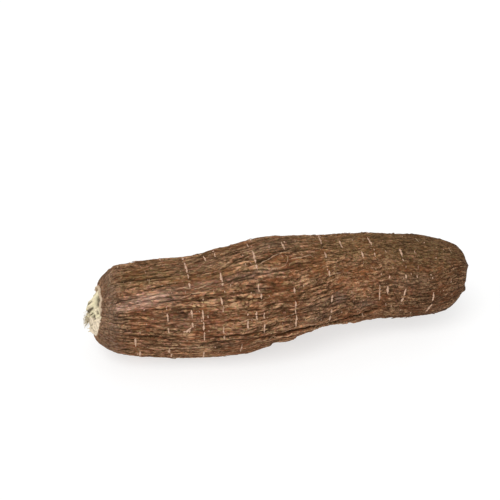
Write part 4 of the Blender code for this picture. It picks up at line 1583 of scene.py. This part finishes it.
def bark_material(name, colours, shade_and_dirt_amount):
    """Bark: its colour from the stored masks, darkened in the creases by painted shade, pale along the
    broken rim.
    """
    if name in bpy.data.materials:
        return bpy.data.materials[name]
    material, tree, shader, grain = start_material(name, *BARK_GRAIN)
    place = field_of(tree, "grain", "Vector")
    strips = group_node(tree, bark_strips_group(), Vector=place, **STRIP_SIZES)
    flecks = group_node(tree, bark_strips_group(), Vector=place, **FLECK_SIZES)
    masks = {mask.capitalize(): field_of(tree, mask)
             for mask in ("tone", "crest", "rust", "torn", "olive", "scuff", "grey", "shade")}
    masks["Strip_Tone"], masks["Strip_Hue"] = strips["Tone"], strips["Hue"]
    masks["Fleck_Tone"], masks["Fleck_Hue"] = flecks["Tone"], flecks["Hue"]
    bands = {label: grain[label] for label in ("Bands", "Streaks", "Fibres")}
    colour = group_node(tree, bark_colour_group(colours), **masks, **bands)["Color"]
    # Painted shade: the thin gaps between the strips and the crack mask darken the bark towards the crevice
    # colour.
    gaps = worked(tree, "MULTIPLY", strips["Gap"], 0.75)
    cracked = worked(tree, "MAXIMUM", field_of(tree, "crack"), gaps)
    colour = group_node(tree, crevice_shade_and_dirt_group(), Color=colour, Dirt=tuple(colours.crevice),
                        Mask=cracked, Breakup=grain["Streaks"], Amount=shade_and_dirt_amount)["Color"]
    colour = mixed(tree, worked(tree, "MULTIPLY", field_of(tree, "rim"), 0.9), colour, tuple(colours.cut))
    fill_socket(tree, shader.inputs["Base Color"], colour)
    whole = worked(tree, "SUBTRACT", 1.0, strips["Gap"])
    parts = (grain["Streaks"], strips["Tone"], flecks["Tone"], whole)
    relief = summed(tree, *zip(parts, BUMP_WEIGHTS))
    rough_surface(tree, shader, grain, *BARK_FINISH, relief)
    shader.inputs["Specular IOR Level"].default_value = BARK_SHINE
    return material


def scar_material(colours):
    """Pale corky scar, browner at its edges and where it is worn."""
    name = "scar_cork"
    if name in bpy.data.materials:
        return bpy.data.materials[name]
    material, tree, shader, grain = start_material(name, *SCAR_GRAIN)
    pale = mixed(tree, ranged(tree, grain["Fibres"], 0.0, 1.0, 0.0, 0.45), tuple(colours.scar),
                 tuple(colours.tan))
    share = ranged(tree, field_of(tree, "tone"), 0.15, 0.75)
    colour = mixed(tree, share, tuple(colours.brown), pale)
    # Painted shade: the scar is darkened where the bark under it is creased.
    colour = group_node(tree, crevice_shade_and_dirt_group(), Color=colour, Dirt=tuple(colours.dark),
                        Mask=field_of(tree, "crack"), Breakup=grain["Streaks"], Amount=0.45)["Color"]
    fill_socket(tree, shader.inputs["Base Color"], colour)
    rough_surface(tree, shader, grain, *SCAR_FINISH)
    shader.inputs["Specular IOR Level"].default_value = SCAR_SHINE
    return material


def wood_material(colours):
    """Broken wood: cream, yellower on its upper face, darkened by painted shade in the splits and crevices.
    """
    name = "torn_wood"
    if name in bpy.data.materials:
        return bpy.data.materials[name]
    material, tree, shader, grain = start_material(name, *WOOD_GRAIN)
    banded = ranged(tree, grain["Bands"], 0.0, 1.0, 0.45, 1.0)
    yellow = worked(tree, "MULTIPLY", field_of(tree, "upper"), banded)
    colour = mixed(tree, yellow, tuple(colours.cream), tuple(colours.yellow))
    shade = worked(tree, "MULTIPLY", ranged(tree, grain["Streaks"], 0.0, 1.0, 0.30, 0.0),
                   ranged(tree, field_of(tree, "tone"), 0.0, 1.0, 1.0, 0.5))
    colour = mixed(tree, shade, colour, tuple(colours.stain_and_shade))
    colour = group_node(tree, crevice_shade_and_dirt_group(), Color=colour, Dirt=tuple(colours.stain_and_shade),
                        Mask=field_of(tree, "dirt"), Breakup=grain["Fibres"], Amount=1.0)["Color"]
    fill_socket(tree, shader.inputs["Base Color"], colour)
    rough_surface(tree, shader, grain, *WOOD_FINISH)
    shader.inputs["Specular IOR Level"].default_value = WOOD_SHINE
    return material


def floor_material(colour, light):
    """Smooth pale floor with a barely uneven tone, which gives some light itself."""
    material = bpy.data.materials.new("studio_floor")
    material.use_nodes = True
    tree = material.node_tree
    shader = tree.nodes["Principled BSDF"]
    noise = add_node(tree, "ShaderNodeTexNoise", Scale=3.0, Detail=2.0)
    share = ranged(tree, noise.outputs["Fac"], 0.2, 0.8, 0.0, 0.02)
    fill_socket(tree, shader.inputs["Base Color"], mixed(tree, share, tuple(colour), WHITE))
    shader.inputs["Roughness"].default_value = 0.9
    shader.inputs["Emission Color"].default_value = WHITE
    shader.inputs["Emission Strength"].default_value = light
    return material


def aimed(name, data, place, target):
    """An object at a place, looking at a target."""
    made = bpy.data.objects.new(name, data)
    bpy.context.scene.collection.objects.link(made)
    made.location = place
    made.rotation_euler = (Vector(target) - Vector(place)).to_track_quat("-Z", "Y").to_euler()
    return made


def set_up_camera(studio):
    camera = bpy.data.cameras.new("camera")
    camera.lens = studio.lens
    camera.sensor_width = 36.0
    camera.dof.use_dof = False
    turn, rise = studio.azimuth, studio.elevation
    back = Vector((math.sin(turn) * math.cos(rise), -math.cos(turn) * math.cos(rise), math.sin(rise)))
    place = Vector(studio.aim) + back * studio.distance
    bpy.context.scene.camera = aimed("camera", camera, place, studio.aim)


def set_up_lights(studio):
    world = bpy.data.worlds.new("studio")
    bpy.context.scene.world = world
    world.use_nodes = True
    sky = world.node_tree.nodes["Background"]
    sky.inputs["Color"].default_value = WHITE
    sky.inputs["Strength"].default_value = studio.sky
    key = bpy.data.lights.new("key_light", "SUN")
    key.energy = studio.key
    key.angle = KEY_SPREAD
    aimed("key_light", key, KEY_PLACE, (0, 0, 0))


def set_up_floor(studio):
    mesh = bpy.data.meshes.new("floor")
    sides = ((-1, -1), (1, -1), (1, 1), (-1, 1))
    corners = [(a * FLOOR_HALF, b * FLOOR_HALF, FLOOR_LEVEL) for a, b in sides]
    mesh.from_pydata(corners, [], [(0, 1, 2, 3)])
    mesh.materials.append(floor_material(studio.floor, studio.floor_light))
    floor = bpy.data.objects.new("floor", mesh)
    bpy.context.scene.collection.objects.link(floor)


class CASSAVA_OT_bark_skin(bpy.types.Operator):
    """Grow the bark over the whole root, with its plates, creases and broken rim"""

    bl_idname = "cassava.bark_skin"
    bl_label = "Bark skin"
    bl_options = {"REGISTER", "UNDO"}

    def execute(self, context):
        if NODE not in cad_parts:
            raise RuntimeError(f"the frame has no node named {NODE}")
        scene = context.scene
        bark_skin(scene.cassava_form, bark_material("grown_bark", scene.cassava_bark, 0.95))
        return {"FINISHED"}


class CASSAVA_OT_cross_scars(bpy.types.Operator):
    """Raise the pale scars that cross the ridges"""

    bl_idname = "cassava.cross_scars"
    bl_label = "Cross scars"
    bl_options = {"REGISTER", "UNDO"}

    def execute(self, context):
        scene = context.scene
        cross_scars(scene.cassava_form, scar_material(scene.cassava_bark))
        return {"FINISHED"}


class CASSAVA_OT_bark_flakes(bpy.types.Operator):
    """Lift loose flakes off the bark"""

    bl_idname = "cassava.bark_flakes"
    bl_label = "Bark flakes"
    bl_options = {"REGISTER", "UNDO"}

    def execute(self, context):
        scene = context.scene
        bark_flakes(scene.cassava_form, bark_material("loose_bark", scene.cassava_bark, 0.6))
        return {"FINISHED"}


class CASSAVA_OT_broken_neck(bpy.types.Operator):
    """Fill the broken neck with torn wood and splinters"""

    bl_idname = "cassava.broken_neck"
    bl_label = "Broken neck"
    bl_options = {"REGISTER", "UNDO"}

    def execute(self, context):
        scene = context.scene
        material = wood_material(scene.cassava_wood)
        broken_wood(scene.cassava_form, material)
        neck_splinters(scene.cassava_form, material)
        return {"FINISHED"}


class CASSAVA_OT_studio(bpy.types.Operator):
    """Set up the pale floor, the soft lights and the camera"""

    bl_idname = "cassava.studio"
    bl_label = "Studio"
    bl_options = {"REGISTER", "UNDO"}

    def execute(self, context):
        studio = context.scene.cassava_studio
        set_up_floor(studio)
        set_up_lights(studio)
        set_up_camera(studio)
        context.scene.view_settings.view_transform = "Standard"
        return {"FINISHED"}


class CASSAVA_PT_sidebar(bpy.types.Panel):
    """Sizes, colours and steps of the cassava root"""

    bl_label = "Cassava root"
    bl_idname = "CASSAVA_PT_sidebar"
    bl_space_type = "VIEW_3D"
    bl_region_type = "UI"
    bl_category = "Cassava"

    def draw(self, context):
        for name, (title, _) in GROUPS.items():
            box = self.layout.box()
            box.label(text=title)
            group = getattr(context.scene, name)
            for entry in group.__annotations__:
                box.prop(group, entry)
        for step in STEPS:
            self.layout.operator(step.bl_idname)


GROUPS = {
    "cassava_form": ("Form", CassavaForm),
    "cassava_bark": ("Bark colours", CassavaBarkColours),
    "cassava_wood": ("Wood colours", CassavaWoodColours),
    "cassava_studio": ("Studio", CassavaStudio),
}
STEPS = (
    CASSAVA_OT_bark_skin,
    CASSAVA_OT_cross_scars,
    CASSAVA_OT_bark_flakes,
    CASSAVA_OT_broken_neck,
    CASSAVA_OT_studio,
)


CLASSES = (*(group for _, group in GROUPS.values()), *STEPS, CASSAVA_PT_sidebar)


def register():
    for item in CLASSES:
        bpy.utils.register_class(item)
    for name, (_, group) in GROUPS.items():
        setattr(bpy.types.Scene, name, bpy.props.PointerProperty(type=group))


def unregister():
    for name in GROUPS:
        delattr(bpy.types.Scene, name)
    for item in reversed(CLASSES):
        bpy.utils.unregister_class(item)


def main():
    """Registers the add-on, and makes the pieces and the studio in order."""
    register()
    bpy.ops.cassava.bark_skin()
    bpy.ops.cassava.cross_scars()
    bpy.ops.cassava.bark_flakes()
    bpy.ops.cassava.broken_neck()
    bpy.ops.cassava.studio()


if __name__ == "__main__":
    main()
